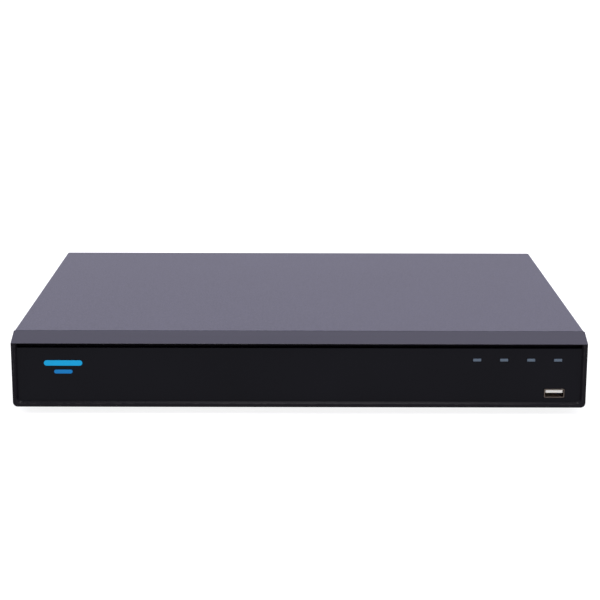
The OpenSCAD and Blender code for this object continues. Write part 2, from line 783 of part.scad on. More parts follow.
alarm_half = alarm_ways * alarm_pitch / 2;
alarm_mouth = panel_out + 1;
module alarm_header() {
    color("darkgreen") difference() {
        block([alarm_x - alarm_half - 1.2, alarm_mouth - 12, deck],
            [alarm_x + alarm_half + 1.2, alarm_mouth, deck + 8.4]);
        block([alarm_x - alarm_half, alarm_mouth - 9, deck + 1.2],
            [alarm_x + alarm_half, alarm_mouth + 1, deck + 7.4]);
    }
    color("silver") for (i = [0:alarm_ways - 1]) {
        x = alarm_x + (i - (alarm_ways - 1) / 2) * alarm_pitch;
        block([x - 0.5, alarm_mouth - 9, deck + 3.8], [x + 0.5, alarm_mouth - 1.5, deck + 4.8]);
    }
}

plug_end = alarm_mouth + 12;
module alarm_plug() {
    color("forestgreen") difference() {
        union() {
            block([alarm_x - alarm_half + 0.4, alarm_mouth - 7.6, deck + 1.6],
                [alarm_x + alarm_half - 0.4, alarm_mouth + 1, deck + 7]);
            block([alarm_x - alarm_half - 0.4, alarm_mouth + 0.4, deck - 1.2],
                [alarm_x + alarm_half + 0.4, plug_end, deck + 8.8]);
        }
        for (i = [0:alarm_ways - 1]) {
            x = alarm_x + (i - (alarm_ways - 1) / 2) * alarm_pitch;
            // Pin slot, wire entry and screw well of one way.
            block([x - 0.9, alarm_mouth - 8, deck + 3.4], [x + 0.9, alarm_mouth + 0.6, deck + 5.2]);
            block([x - 1.3, plug_end - 6, deck + 0.2], [x + 1.3, plug_end + 1, deck + 3.4]);
            translate([x, alarm_mouth + 5.6, deck + 5]) cylinder(h = 5, r = 1.6);
        }
    }
}

module alarm_plug_screws() {
    color("silver") for (i = [0:alarm_ways - 1]) {
        x = alarm_x + (i - (alarm_ways - 1) / 2) * alarm_pitch;
        translate([x, alarm_mouth + 5.6, deck + 5]) difference() {
            cylinder(h = 2.8, r = 1.5);
            block([-1.6, -0.3, 2], [1.6, 0.3, 3]);
        }
    }
}

module dc_jack() {
    color("black") difference() {
        union() {
            block([dc_x - 4.5, panel_in - 13.4, deck], [dc_x + 4.5, panel_in - 0.2, deck + 11]);
            rod_y(dc_x, dc_z, panel_in - 1, panel_out + 1.4, 4.4);
        }
        rod_y(dc_x, dc_z, panel_out - 9, panel_out + 3, 3.2);
    }
    color("silver") rod_y(dc_x, dc_z, panel_out - 9, panel_out + 0.6, 1.05);
}

rocker_pivot_y = panel_out - 2.2;
rocker_tilt = 8;
module rocker_housing() {
    color("black") difference() {
        union() {
            along_y(panel_out, panel_out + 2) translate([rocker_x, rocker_z]) round_rect(15, 21, 1.2);
            along_y(panel_out - 15, panel_out + 1) translate([rocker_x, rocker_z])
                square([12.8, 18.8], center = true);
        }
        along_y(panel_out - 6.6, panel_out + 3) translate([rocker_x, rocker_z])
            square([10.8, 16.8], center = true);
        rod_x(rocker_pivot_y, rocker_z, rocker_x - 6.1, rocker_x + 6.1, 1.26);
    }
    // Solder tabs.
    color("gold") for (z = [-4, 4])
        block([rocker_x - 2.4, panel_out - 21, rocker_z + z - 0.4],
            [rocker_x + 2.4, panel_out - 15, rocker_z + z + 0.4]);
}

module power_rocker() {
    h = 7.7;
    place = [rocker_x, rocker_pivot_y, rocker_z];
    color([0.08, 0.08, 0.08]) translate(place) rotate([rocker_tilt, 0, 0]) union() {
        rotate([90, 0, 90]) translate([0, 0, -5]) linear_extrude(10)
            polygon([[-2, -3], [1.6, -h], [4.2, -h], [3.3, 0], [4.2, h], [1.6, h], [-2, 3]]);
        rod_x(0, 0, -6, 6, 1.2);
    }
}

module fan_frame() {
    half = fan_size / 2;
    y0 = panel_in - fan_t;
    color([0.12, 0.12, 0.12]) union() {
        difference() {
            along_y(y0, panel_in) translate([fan_x, fan_z]) round_rect(fan_size, fan_size, 2.5);
            rod_y(fan_x, fan_z, y0 - 1, panel_in + 1, 19);
            for (p = fan_holes) rod_y(p[0], p[1], y0 - 1, panel_in + 1, 2.15);
        }
        // Motor base on four struts, with the bearing tube.
        difference() {
            union() {
                rod_y(fan_x, fan_z, panel_in - 1.4, panel_in, 10.5);
                for (a = [0, 90]) along_y(panel_in - 1.4, panel_in) translate([fan_x, fan_z]) rotate(a)
                    square([38.6, 2], center = true);
                rod_y(fan_x, fan_z, panel_in - 7.4, panel_in - 1, 3);
            }
            rod_y(fan_x, fan_z, panel_in - 8, panel_in - 1, 1.06);
        }
    }
}

module fan_rotor() {
    y0 = panel_in - fan_t + 0.6;
    y1 = panel_in - 1.9;
    color([0.15, 0.15, 0.15]) union() {
        difference() {
            rod_y(fan_x, fan_z, y0, y1, 10.3);
            rod_y(fan_x, fan_z, y0 + 1.2, y1 + 1, 8.9);
        }
        rod_y(fan_x, fan_z, y0 + 0.6, panel_in - 2.4, 1);
        intersection() {
            difference() {
                rod_y(fan_x, fan_z, y0, y1, 18.4);
                rod_y(fan_x, fan_z, y0 - 1, y1 + 1, 10);
            }
            translate([fan_x, (y0 + y1) / 2, fan_z]) for (i = [0:6])
                rotate([0, i * 360 / 7, 0]) translate([14.2, 0, 0])
                    rotate([48, 0, 0]) cube([10, 0.9, 11.4], center = true);
        }
    }
}

module rear_panel_screws() {
    color("silver") {
        for (p = fan_holes) translate([p[0], panel_out, p[1]])
            rotate([-90, 0, 0]) screw(3.2, 2, 2.1, 9);
        translate([ground_x, panel_out, ground_z]) rotate([-90, 0, 0]) screw(3.6, 2.2, 1.95, 6);
    }
}

// ---------------------------------------------------------------- hard drive

module drive_place() {
    translate([drive_x0, drive_y0, drive_z]) children();
}
drive_lid_t = 2.4;
drive_case_h = drive_h - drive_lid_t;

module drive_case() {
    cavity_z = 8;
    color("silver") drive_place() {
        difference() {
            cube([drive_l, drive_w, drive_case_h]);
            translate([spindle[0], spindle[1], cavity_z])
                cylinder(h = drive_h, r = platter_r + 1.2, $fn = 96);
            block([86, 3.4, cavity_z], [drive_l - 3.5, drive_w - 3.4, drive_h]);
            // Recess for the circuit board and a notch for its connector.
            block([55, 9, -1], [drive_l + 1, drive_w - 9, 3]);
            block([drive_l - 8, 30, -1], [drive_l + 1, 84, 6.6]);
            for (p = bay_holes(0, 1)) translate([p[0], p[1] - drive_y0, -1])
                cylinder(h = 5.6, r = 1.65);
        }
        translate([spindle[0], spindle[1], cavity_z - 0.5]) cylinder(h = 12, r = 3);
        translate([pivot[0], pivot[1], cavity_z - 0.5]) cylinder(h = 12.5, r = 3.5);
    }
}

module drive_lid() {
    color("lightgray") drive_place() translate([0, 0, drive_case_h]) difference() {
        translate([drive_l / 2, drive_w / 2]) {
            linear_extrude(1.2) round_rect(drive_l - 2, drive_w - 2, 4);
            linear_extrude(drive_lid_t) round_rect(drive_l - 14, drive_w - 14, 8);
        }
        translate([spindle[0], spindle[1], 1.8]) cylinder(h = 2, r = 9);
        translate([pivot[0], pivot[1], 1.8]) cylinder(h = 2, r = 6);
    }
}

// Two discs and their spindle hub.
module drive_platters() {
    bottom = 9;
    color("silver") drive_place() translate([spindle[0], spindle[1], bottom]) {
        difference() {
            union() {
                cylinder(h = 11.5, r = hub_r);
                translate([0, 0, 9.4]) cylinder(h = 2.1, r = 15.5);
                cylinder(h = 2.6, r = 15.5);
            }
            translate([0, 0, -1]) cylinder(h = 14, r = 3.06);
        }
        for (z = [2.7, 7.9]) translate([0, 0, z]) difference() {
            cylinder(h = 1.2, r = platter_r, $fn = 96);
            translate([0, 0, -1]) cylinder(h = 4, r = hub_r + 0.05);
        }
    }
}

// Three arms on one sleeve, with the voice coil on the other side.
module drive_actuator() {
    color("gray") drive_place() translate([pivot[0], pivot[1], 9]) rotate(actuator_turn) difference() {
        union() {
            cylinder(h = 11.4, r = 7.4);
            rotate(park_angle) for (z = [1.2, 5, 9.8]) translate([0, 0, z]) linear_extrude(0.8)
                polygon([[0, -5.5], [arm_len - 3, -2], [arm_len, -1],
                    [arm_len, 1], [arm_len - 3, 2], [0, 5.5]]);
            rotate(-35) translate([0, 0, 4.4]) linear_extrude(3)
                polygon([[0, -4], [14, -8], [28, -10], [28, 10], [14, 8], [0, 4]]);
        }
        translate([0, 0, -1]) cylinder(h = 14, r = 3.56);
    }
}

module drive_board() {
    color("darkgreen") drive_place() difference() {
        block([57, 10, 0.6], [drive_l - 8.2, drive_w - 10, 2.2]);
        translate([80, 50, -1]) cylinder(h = 5, r = 6);
    }
    // Data and power connector.
    color("black") drive_place() difference() {
        block([drive_l - 7.8, 31, 0.6], [drive_l - 0.5, 83, 6.2]);
        block([drive_l - 6, 33, 2.6], [drive_l + 1, 49, 5]);
        block([drive_l - 6, 52, 2.6], [drive_l + 1, 81, 5]);
    }
}

module drive_screws() {
    color("silver") for (p = bay_holes(drive_x0, 1)) translate([p[0], p[1], floor_z])
        rotate([180, 0, 0]) screw(3.4, 1.2, 1.6, sheet + bay_lift + 4);
}

// ---------------------------------------------------------------- wiring

plug_x = drive_x0 + drive_l;
plug_l = 15.1;
data_plug_y = drive_y0 + 41;
power_plug_y = drive_y0 + 66.5;
data_route = [[-15, -74.6, 15.2], [-6, -74.4, 15.4], [1, -69, 17], [4, -56, 21], [4, -34, 27],
    [2, -10, 33], [-1, 12, 37], [-4, 28, 39], [-6, 38, 38], [-6, 42, 34]];
module sata_cable() {
    spot = sata_spots[0];
    color("red") {
        tube(smooth(data_route, 4), 2.2);
        block([plug_x, data_plug_y - 6.5, drive_z + 1.2],
            [plug_x + plug_l, data_plug_y + 6.5, drive_z + 7.4]);
        block([plug_x - 5, data_plug_y - 5, drive_z + 3],
            [plug_x + 0.1, data_plug_y + 5, drive_z + 4.6]);
        block([spot[0] - 3.4, spot[1] - 7, deck + 8.9], [spot[0] + 3.4, spot[1] + 7, 34.1]);
        block([spot[0] - 1.3, spot[1] - 5, deck + 2], [spot[0] + 1.3, spot[1] + 5, deck + 9]);
    }
}

power_route = [[-15, -49, 15.2], [-7, -48.6, 15.2], [-3, -42, 16], [-4, -28, 18], [-10, -12, 22],
    [-22, 2, 27], [-38, 12, 31], [-52, 20, 32], [-60, 26, 30], [-62, 28, 25.4]];
module drive_power_cable() {
    color("black") {
        block([plug_x, power_plug_y - 13.5, drive_z + 1.2],
            [plug_x + plug_l, power_plug_y + 13.5, drive_z + 7.4]);
        block([plug_x - 5, power_plug_y - 13, drive_z + 3],
            [plug_x + 0.1, power_plug_y + 13, drive_z + 4.6]);
        block([power_spot[0] - 5.6, power_spot[1] - 2.9, deck + 7],
            [power_spot[0] + 5.6, power_spot[1] + 2.9, 25.5]);
        block([power_spot[0] - 5, power_spot[1] - 2.2, deck + 5.5],
            [power_spot[0] + 5, power_spot[1] + 2.2, deck + 7.1]);
    }
    color("gold") for (i = [-1.5:1:1.5])
        tube([for (p = smooth(power_route, 3)) p + [i * 1.1, -i * 2.0, 0]], 0.85);
}

front_route = [[90, -121.5, 18.5], [86, -121.5, 17.8], [80, -121.5, 15.5], [70, -121, 12],
    [52, -120.6, 10.6], [34, -119, 10.6], [24, -112, 10.6], [20.5, -98, 10.6],
    [20.5, -60, 10.6], [20.5, -24, 10.8], [22, -4, 14], [28, 12, 22], [36, 22, 28],
    [40, 27, 28.6], [40, 28, 25.4]];
module front_board_cable() {
    color("white") {
        tube(smooth(front_route, 3), 1.9);
        block([88, board_y + board_t + 0.3, 15.9], [92, board_y + board_t + 5.1, 21.1]);
        block([front_spot[0] - 6.4, front_spot[1] - 2.6, deck + 7],
            [front_spot[0] + 6.4, front_spot[1] + 2.6, 25.5]);
        block([front_spot[0] - 6, front_spot[1] - 2, deck + 5.5],
            [front_spot[0] + 6, front_spot[1] + 2, deck + 7.1]);
    }
}

fan_route = [[139.7, 121, 14], [138.4, 114, 18], [136, 104, 24], [131, 95, 26], [129, 92, 23.4]];
switch_route = [[-168, 106.5, 30], [-166, 100, 30.5], [-159, 92, 30], [-150, 86, 28], [-145, 82, 23.4]];
module low_voltage_leads() {
    color("black") for (s = [-1, 1]) {
        tube([for (p = smooth(fan_route, 4)) p + [0, 0, s * 0.8]], 0.6, [1, 0, 0.3]);
        tube([for (p = smooth(switch_route, 4)) p + [s * 0.8, 0, 0]], 0.6, [1, 0, 0.3]);
    }
    color("ivory") for (p = [fan_spot, switch_spot]) {
        block([p[0] - 3, p[1] - 2.4, deck + 7], [p[0] + 3, p[1] + 2.4, 23.5]);
        block([p[0] - 2.3, p[1] - 1.7, deck + 5.5], [p[0] + 2.3, p[1] + 1.7, deck + 7.1]);
    }
}

// ---------------------------------------------------------------- nodes

base_pan();
rear_panel();
front_bezel();
fascia_panel();
badge();
rubber_feet();
light_pipe();
front_board();
indicator_leds();
front_usb_shell();
front_usb_tongue();
top_cover();
cover_screws();
mainboard();
board_standoffs();
chassis_screws();
main_processor();
heat_sink();
memory_chips();
video_decoders();
capacitors();
inductors();
coin_cell();
coin_cell_holder();
sata_headers();
wire_headers();
buzzer();
bnc_housing();
bnc_jacks();
bnc_insulators();
bnc_contacts();
rca_housing();
rca_jacks();
rca_inserts();
vga_shell();
vga_insert();
vga_jack_screws();
hdmi_shell();
hdmi_tongue();
lan_usb_shell();
lan_usb_insert();
alarm_header();
alarm_plug();
alarm_plug_screws();
dc_jack();
rocker_housing();
power_rocker();
fan_frame();
fan_rotor();
rear_panel_screws();
drive_case();
drive_lid();
drive_platters();
drive_actuator();
drive_board();
drive_screws();
sata_cable();
drive_power_cable();
front_board_cable();
low_voltage_leads();
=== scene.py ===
# %% [markdown]
# # A slim sixteen-channel video recorder
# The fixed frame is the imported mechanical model: every sheet, screw and connector at its real
# place and size. This notebook gives it its looks: rounded edges, finishes, and the small detail
# that a mechanical model leaves out. Each step says what the real piece is before it is made.

# %% Load the frame
import math
import random

import bmesh
import bpy
from mathutils import Matrix, Vector


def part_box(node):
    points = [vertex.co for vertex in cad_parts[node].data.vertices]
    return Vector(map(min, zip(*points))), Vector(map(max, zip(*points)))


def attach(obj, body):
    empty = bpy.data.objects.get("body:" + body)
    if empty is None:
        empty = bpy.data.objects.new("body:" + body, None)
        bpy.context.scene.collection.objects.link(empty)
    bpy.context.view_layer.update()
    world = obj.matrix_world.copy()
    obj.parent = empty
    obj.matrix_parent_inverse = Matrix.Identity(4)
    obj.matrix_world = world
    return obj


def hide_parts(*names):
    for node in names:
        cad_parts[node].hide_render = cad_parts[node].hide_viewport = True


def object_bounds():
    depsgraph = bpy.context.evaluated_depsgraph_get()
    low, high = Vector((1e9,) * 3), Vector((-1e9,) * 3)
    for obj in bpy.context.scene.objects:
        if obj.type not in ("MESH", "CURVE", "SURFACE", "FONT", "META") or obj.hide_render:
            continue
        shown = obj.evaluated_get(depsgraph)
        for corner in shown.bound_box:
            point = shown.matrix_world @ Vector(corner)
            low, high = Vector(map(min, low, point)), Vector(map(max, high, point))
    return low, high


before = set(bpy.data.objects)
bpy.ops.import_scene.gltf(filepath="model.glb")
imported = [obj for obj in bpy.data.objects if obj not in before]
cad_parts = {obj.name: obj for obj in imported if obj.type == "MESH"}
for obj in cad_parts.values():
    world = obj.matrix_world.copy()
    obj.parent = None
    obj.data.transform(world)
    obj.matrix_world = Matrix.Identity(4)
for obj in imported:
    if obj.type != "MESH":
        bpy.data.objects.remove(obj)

MM = 0.001
cad_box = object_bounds()
low, high = cad_box
print("case and connectors, in mm:", [round(v / MM, 1) for v in high - low])

# %% [markdown]
# ## Camera
# A recorder is usually shown from the front and a little above, so that the lid and the front
# both show. The lens is long, which keeps the case's sides close to parallel. The camera aims at
# a point above the front's lower edge, and everything is measured from the frame.

# %% Camera
LENS = 96.6            # millimetres, on a sensor 36 mm wide
ELEVATION = math.radians(13.1)
YAW = math.radians(0.25)
ROLL = math.radians(0.18)
DISTANCE = 1.0376

bezel_low, bezel_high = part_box("front_bezel")


def make_camera():
    """A camera that looks along +Y and slightly down at the front."""
    ahead = Vector((math.sin(YAW) * math.cos(ELEVATION), math.cos(YAW) * math.cos(ELEVATION),
                    -math.sin(ELEVATION)))
    side = Vector((math.cos(YAW), -math.sin(YAW), 0))
    up = side.cross(ahead)
    right = side * math.cos(ROLL) + up * math.sin(ROLL)
    top = up * math.cos(ROLL) - side * math.sin(ROLL)
    aim = Vector((0.2 * MM, bezel_low.y, bezel_low.z + 72.3 * MM))
    camera = bpy.data.objects.new("camera", bpy.data.cameras.new("camera"))
    camera.data.lens = LENS
    camera.data.sensor_width = 36
    turn = Matrix((right, top, -ahead)).transposed()
    camera.matrix_world = Matrix.Translation(aim - ahead * DISTANCE) @ turn.to_4x4()
    bpy.context.scene.collection.objects.link(camera)
    bpy.context.scene.camera = camera


make_camera()

# %% [markdown]
# ## Floor and light
# The studio is a pale, softly lit table under an even white sky, with one soft light overhead,
# a weaker one from the front left and a small one at each side. Black plastic shows its shape
# mostly by what it reflects: the overhead light draws the slope inside the rim, and the side
# lights catch its corners.

# %% Floor, sky and lamps
SKY = (1.1, 1.07, 1.22)


def make_floor():
    """A wide pale sheet at the height of the feet."""
    half = 4.0
    mesh = bpy.data.meshes.new("studio_floor")
    mesh.from_pydata([(-half, -half, 0), (half, -half, 0), (half, half, 0), (-half, half, 0)],
                     [], [(0, 1, 2, 3)])
    floor = bpy.data.objects.new("studio_floor", mesh)
    bpy.context.scene.collection.objects.link(floor)
    paint = bpy.data.materials.new("floor_paint")
    paint.use_nodes = True
    shader = paint.node_tree.nodes["Principled BSDF"]
    for label, value in (("Base Color", (0.3, 0.3, 0.3, 1)), ("Roughness", 0.8),
                         ("Emission Color", (1, 1, 1, 1)), ("Emission Strength", 0.84)):
        shader.inputs[label].default_value = value
    mesh.materials.append(paint)


def make_lamp(name, place, size, power):
    """A square soft lamp that faces the middle of the recorder."""
    data = bpy.data.lights.new(name, "AREA")
    data.size = size
    data.energy = power
    lamp = bpy.data.objects.new(name, data)
    lamp.location = place
    lamp.rotation_mode = "QUATERNION"
    lamp.rotation_quaternion = (Vector((0, 0, 0.03)) - Vector(place)).to_track_quat("-Z", "Y")
    bpy.context.scene.collection.objects.link(lamp)


make_floor()
make_lamp("overhead", (0.05, -0.42, 1.5), 0.55, 9)
for side in (-1, 1):
    make_lamp("side", (side * 1.25, 0.12, 0.92), 0.35, 1.5)
make_lamp("front_left", (-1.2, -0.9, 1.1), 0.8, 3)
sky = bpy.data.worlds.new("even_sky")
bpy.context.scene.world = sky
sky.use_nodes = True
sky.node_tree.nodes["Background"].inputs["Color"].default_value = (*SKY, 1)
bpy.context.scene.view_settings.view_transform = "Standard"

# %% [markdown]
# ## Shader groups
# Several finishes share an effect: a fine texture in paint and plastic, wear along edges (on the
# bezel rim partly a painted glint), dust on surfaces that face up, and the streaks of rolled or
# brushed metal. Each effect is one node group with named inputs, made once and placed in each
# material with its own values.

# %% Small helpers for node trees


def add_node(tree, kind, inputs=None, **settings):
    """A node with its settings, and its inputs linked or set by name or number."""
    made = tree.nodes.new(kind)
    for key, value in settings.items():
        setattr(made, key, value)
    for key, value in (inputs or {}).items():
        if isinstance(value, bpy.types.NodeSocket):
            tree.links.new(value, made.inputs[key])
        else:
            made.inputs[key].default_value = value
    return made


def math_node(tree, operation, first, second=0.0, third=0.0):
    """The output of a Math node."""
    return add_node(tree, "ShaderNodeMath", {0: first, 1: second, 2: third},
                    operation=operation).outputs[0]


def start_group(name, inputs, outputs):
    """An empty shader group with named float inputs and outputs."""
    tree = bpy.data.node_groups.new(name, "ShaderNodeTree")
    for label, value in inputs.items():
        tree.interface.new_socket(label, in_out="INPUT", socket_type="NodeSocketFloat").default_value = value
    for label in outputs:
        tree.interface.new_socket(label, in_out="OUTPUT", socket_type="NodeSocketFloat")
    return tree, tree.nodes.new("NodeGroupInput").outputs, tree.nodes.new("NodeGroupOutput").inputs


# %% The four effects


def fine_texture_group():
    """A fine bump, and soft patches of lighter and darker colour."""
    tree, given, out = start_group("fine_texture", {"Scale": 1000, "Patches": 60}, ["Height", "Mottle"])
    place = add_node(tree, "ShaderNodeTexCoord").outputs["Object"]
    fine = add_node(tree, "ShaderNodeTexNoise", {"Vector": place, "Scale": given["Scale"], "Detail": 2.0})
    broad = add_node(tree, "ShaderNodeTexNoise", {"Vector": place, "Scale": given["Patches"], "Detail": 3.0})
    tree.links.new(fine.outputs[0], out["Height"])
    tree.links.new(broad.outputs[0], out["Mottle"])
    return tree


def edge_wear_and_glint_group():
    """A mask of the rounded edge faces, broken up by noise: rubbed wear, and on the bezel rim also a painted glint."""
    tree, given, out = start_group("edge_wear_and_glint", {"Amount": 0.5, "Scale": 250}, ["Mask"])
    place = add_node(tree, "ShaderNodeTexCoord").outputs["Object"]
    edge = add_node(tree, "ShaderNodeAttribute", attribute_name="edge").outputs["Fac"]
    noise = add_node(tree, "ShaderNodeTexNoise", {"Vector": place, "Scale": given["Scale"], "Detail": 4.0})
    broken = add_node(tree, "ShaderNodeMapRange", {"Value": noise.outputs[0], "From Min": 0.45, "From Max": 0.62})
    worn = math_node(tree, "MULTIPLY", edge, broken.outputs[0])
    tree.links.new(math_node(tree, "MULTIPLY", worn, given["Amount"]), out["Mask"])
    return tree


def dust_group():
    """A mask of thin dust on what faces up."""
    tree, given, out = start_group("dust", {"Amount": 0.2, "Scale": 120}, ["Mask"])
    place = add_node(tree, "ShaderNodeTexCoord").outputs["Object"]
    normal = add_node(tree, "ShaderNodeNewGeometry").outputs["Normal"]
    facing = add_node(tree, "ShaderNodeSeparateXYZ", {0: normal}).outputs["Z"]
    upward = add_node(tree, "ShaderNodeMapRange", {"Value": facing, "From Min": 0.6, "From Max": 1.0})
    noise = add_node(tree, "ShaderNodeTexNoise", {"Vector": place, "Scale": given["Scale"], "Detail": 6.0})
    patchy = math_node(tree, "MULTIPLY", upward.outputs[0], noise.outputs[0])
    tree.links.new(math_node(tree, "MULTIPLY", patchy, given["Amount"]), out["Mask"])
    return tree


def streaks_group():
    """Long streaks: noise that is stretched by a factor along each axis."""
    tree, given, out = start_group("streaks", {"Along X": 10, "Along Y": 900, "Along Z": 900}, ["Streak"])
    place = add_node(tree, "ShaderNodeTexCoord").outputs["Object"]
    factors = add_node(tree, "ShaderNodeCombineXYZ",
                       {0: given["Along X"], 1: given["Along Y"], 2: given["Along Z"]}).outputs[0]
    stretched = add_node(tree, "ShaderNodeVectorMath", {0: place, 1: factors}, operation="MULTIPLY")
    noise = add_node(tree, "ShaderNodeTexNoise", {"Vector": stretched.outputs[0], "Scale": 1.0, "Detail": 4.0})
    tree.links.new(noise.outputs[0], out["Streak"])
    return tree


GROUPS = {"fine_texture": fine_texture_group(), "edge_wear_and_glint": edge_wear_and_glint_group(),
          "dust": dust_group(), "streaks": streaks_group()}


def place_group(tree, name, **values):
    """A shared effect in a material, with this material's own values."""
    made = tree.nodes.new("ShaderNodeGroup")
    made.node_tree = GROUPS[name]
    for label, value in values.items():
        made.inputs[label.replace("_", " ")].default_value = value
    return made.outputs


# %% [markdown]
# ## Finishes
# Most finishes are made by one function. The colour varies a little in soft patches, a fine
# texture gives the bump and breaks the gloss, rounded edges are rubbed lighter, and dust lies on
# top. On the bezel rim the lighter edge colour is also a painted glint. What is the same all
# over, such as the metal amount, is set on the shader itself.

# %% One function for most finishes


def mix_colours(tree, mask, first, second):
    """The colour output of a mix between two colours or colour outputs."""
    mixed = add_node(tree, "ShaderNodeMix", data_type="RGBA")
    tree.links.new(mask, mixed.inputs["Factor"])
    for socket, colour in ((mixed.inputs[6], first), (mixed.inputs[7], second)):
        if isinstance(colour, bpy.types.NodeSocket):
            tree.links.new(colour, socket)
        else:
            socket.default_value = (*colour, 1)
    return mixed.outputs[2]


def shade(colour, factor):
    """A colour made lighter or darker."""
    return tuple(min(1.0, c * factor) for c in colour)


def new_material(name, metal=0.0, specular=0.5, **constants):
    """A material with a plain Principled shader, and constants set on its sockets."""
    made = bpy.data.materials.new(name)
    made.use_nodes = True
    shader = made.node_tree.nodes["Principled BSDF"]
    shader.inputs["Metallic"].default_value = metal
    shader.inputs["Specular IOR Level"].default_value = specular
    for label, value in constants.items():
        shader.inputs[label.replace("_", " ")].default_value = value
    return made, made.node_tree, shader


def bump(tree, shader, height, depth):
    """Feeds a height, with its real depth in metres, to the shader's normal."""
    made = add_node(tree, "ShaderNodeBump", {"Height": height, "Distance": depth, "Strength": 1.0})
    tree.links.new(made.outputs[0], shader.inputs["Normal"])


def finish(name, colour, roughness, metal=0.0, specular=0.5, texture=(1500, 0.02), patches=(60, 0.12),
           wear=0.0, wear_and_glint_colour=(0.2, 0.2, 0.2), dust=0.0, streak=None, gloss_change=0.12, **constants):
    """A painted, moulded or plated finish with texture, patches, edge wear (partly a painted glint on the bezel rim)
    and dust.
    """
    made, tree, shader = new_material(name, metal, specular, **constants)
    fine = place_group(tree, "fine_texture", Scale=texture[0], Patches=patches[0])
    height, blend = fine["Height"], fine["Mottle"]
    if streak:
        height = blend = place_group(tree, "streaks", Along_X=streak[0], Along_Y=streak[1],
                                     Along_Z=streak[2])["Streak"]
    out = mix_colours(tree, blend, shade(colour, 1 - patches[1]), shade(colour, 1 + patches[1]))
    if wear:
        mask = place_group(tree, "edge_wear_and_glint", Amount=wear)["Mask"]
        # the edge colour is rubbed wear, and on the bezel rim partly a painted glint
        out = mix_colours(tree, mask, out, wear_and_glint_colour)
    if dust:
        mask = place_group(tree, "dust", Amount=dust)["Mask"]
        out = mix_colours(tree, mask, out, (0.42, 0.4, 0.38))
    tree.links.new(out, shader.inputs["Base Color"])
    rough = add_node(tree, "ShaderNodeMapRange", {"Value": height, "From Min": 0.3, "From Max": 0.7,
                                                  "To Min": roughness * (1 - gloss_change),
                                                  "To Max": roughness * (1 + gloss_change)})
    tree.links.new(rough.outputs[0], shader.inputs["Roughness"])
    bump(tree, shader, height, texture[1] * MM)
    return made


# %% [markdown]
# ## Clean copies of the mechanical solids
# The frame's meshes are loose triangles with razor edges. Folded steel and moulded plastic have
# rounded edges, and it is the rounding that catches the light. A clean copy merges a node's
# triangles into flat faces, rounds the sharp edges, and marks the rounded faces in an attribute
# named edge, which the edge wear and glint group reads. The copy then stands for its node.

# %% The clean copy


FLAT = math.radians(0.8)


def flat_regions(shape):
    """Groups of faces that join in one plane."""
    seen, groups = set(), []
    for first in shape.faces:
        if first in seen:
            continue
        seen.add(first)
        group, waiting = [], [first]
        while waiting:
            face = waiting.pop()
            group.append(face)
            for edge in face.edges:
                if len(edge.link_faces) == 2 and edge.calc_face_angle(9) < FLAT:
                    for other in edge.link_faces:
                        if other not in seen and other.normal.angle(first.normal, 9) < FLAT:
                            seen.add(other)
                            waiting.append(other)
        groups.append(group)
    return groups


def has_one_outline(group):
    """True if a flat group of triangles has no hole or pinch, so that one face can stand for it."""
    faces = set(group)
    edges = {e for f in group for e in f.edges}
    corners = {v for f in group for v in f.verts}
    outline = [e for e in edges if sum(f in faces for f in e.link_faces) == 1]
    ends = [v for e in outline for v in e.verts]
    return len(corners) - len(edges) + len(group) == 1 and len(ends) == 2 * len(set(ends))


def clean_shape(nodes, merge):
    """The nodes' triangles, merged into one face wherever a flat region has no hole."""
    shape = bmesh.new()
    for node in nodes:
        shape.from_mesh(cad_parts[node].data)
    bmesh.ops.remove_doubles(shape, verts=shape.verts, dist=merge * MM)
    bmesh.ops.dissolve_degenerate(shape, edges=shape.edges, dist=1e-6)
    inner = []
    for group in flat_regions(shape):
        if len(group) > 1 and has_one_outline(group):
            faces = set(group)
            inner += [e for e in {e for f in group for e in f.edges}
                      if len(e.link_faces) == 2 and all(f in faces for f in e.link_faces)]
    bmesh.ops.dissolve_edges(shape, edges=inner, use_verts=False, use_face_split=False)
    return shape


def sharp_edges(shape, angle):
    """Edges between two faces that meet at more than an angle in degrees."""
    limit = math.radians(angle)
    return [e for e in shape.edges if len(e.link_faces) == 2 and e.calc_face_angle(0) > limit]


def piece_from(shape, name, materials, body, smooth=True):
    """A finished object from a bmesh: materials, smooth shading, and the body it rides on."""
    mesh = bpy.data.meshes.new(name)
    shape.to_mesh(mesh)
    shape.free()
    for material in materials:
        mesh.materials.append(material)
    for face in mesh.polygons:
        face.use_smooth = smooth
    made = bpy.data.objects.new(name, mesh)
    bpy.context.scene.collection.objects.link(made)
    if smooth:
        made.modifiers.new("even_normals", "WEIGHTED_NORMAL").keep_sharp = True
    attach(made, body)
    return made


def round_edges(shape, edges, radius, steps):
    """Rounds edges of a bmesh, and marks the rounded faces in the edge attribute."""
    layer = shape.faces.layers.float.get("edge") or shape.faces.layers.float.new("edge")
    made = bmesh.ops.bevel(shape, geom=edges, offset=radius * MM, segments=steps, profile=0.5,
                           affect="EDGES", clamp_overlap=False)
    for face in made["faces"]:
        face[layer] = 1.0


def clean_copy(name, nodes, materials, body="chassis", radius=0.25, steps=2, angle=35, pick=None,
               merge=0.002, broad=None):
    """A merged copy of CAD nodes with rounded edges, which stands for those nodes.

    Edges that broad picks are rounded first, with its own radius in millimetres."""
    nodes = [nodes] if isinstance(nodes, str) else nodes
    materials = materials if isinstance(materials, list) else [materials]
    shape = clean_shape(nodes, merge)
    if broad:
        wanted, broad_radius = broad
        shape.faces.layers.float.new("edge")
        round_edges(shape, [e for e in sharp_edges(shape, angle) if wanted(e)], broad_radius, 4)
    round_edges(shape, sharp_edges(shape, angle), radius, steps)
    corners = [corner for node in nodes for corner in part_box(node)]
    for vert in shape.verts:
        vert.co = [min(max(value, min(c[axis] for c in corners)), max(c[axis] for c in corners))
                   for axis, value in enumerate(vert.co)]
    if pick:
        for face in shape.faces:
            face.material_index = pick(face)
    piece = piece_from(shape, name, materials, body)
    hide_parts(*nodes)
    return piece


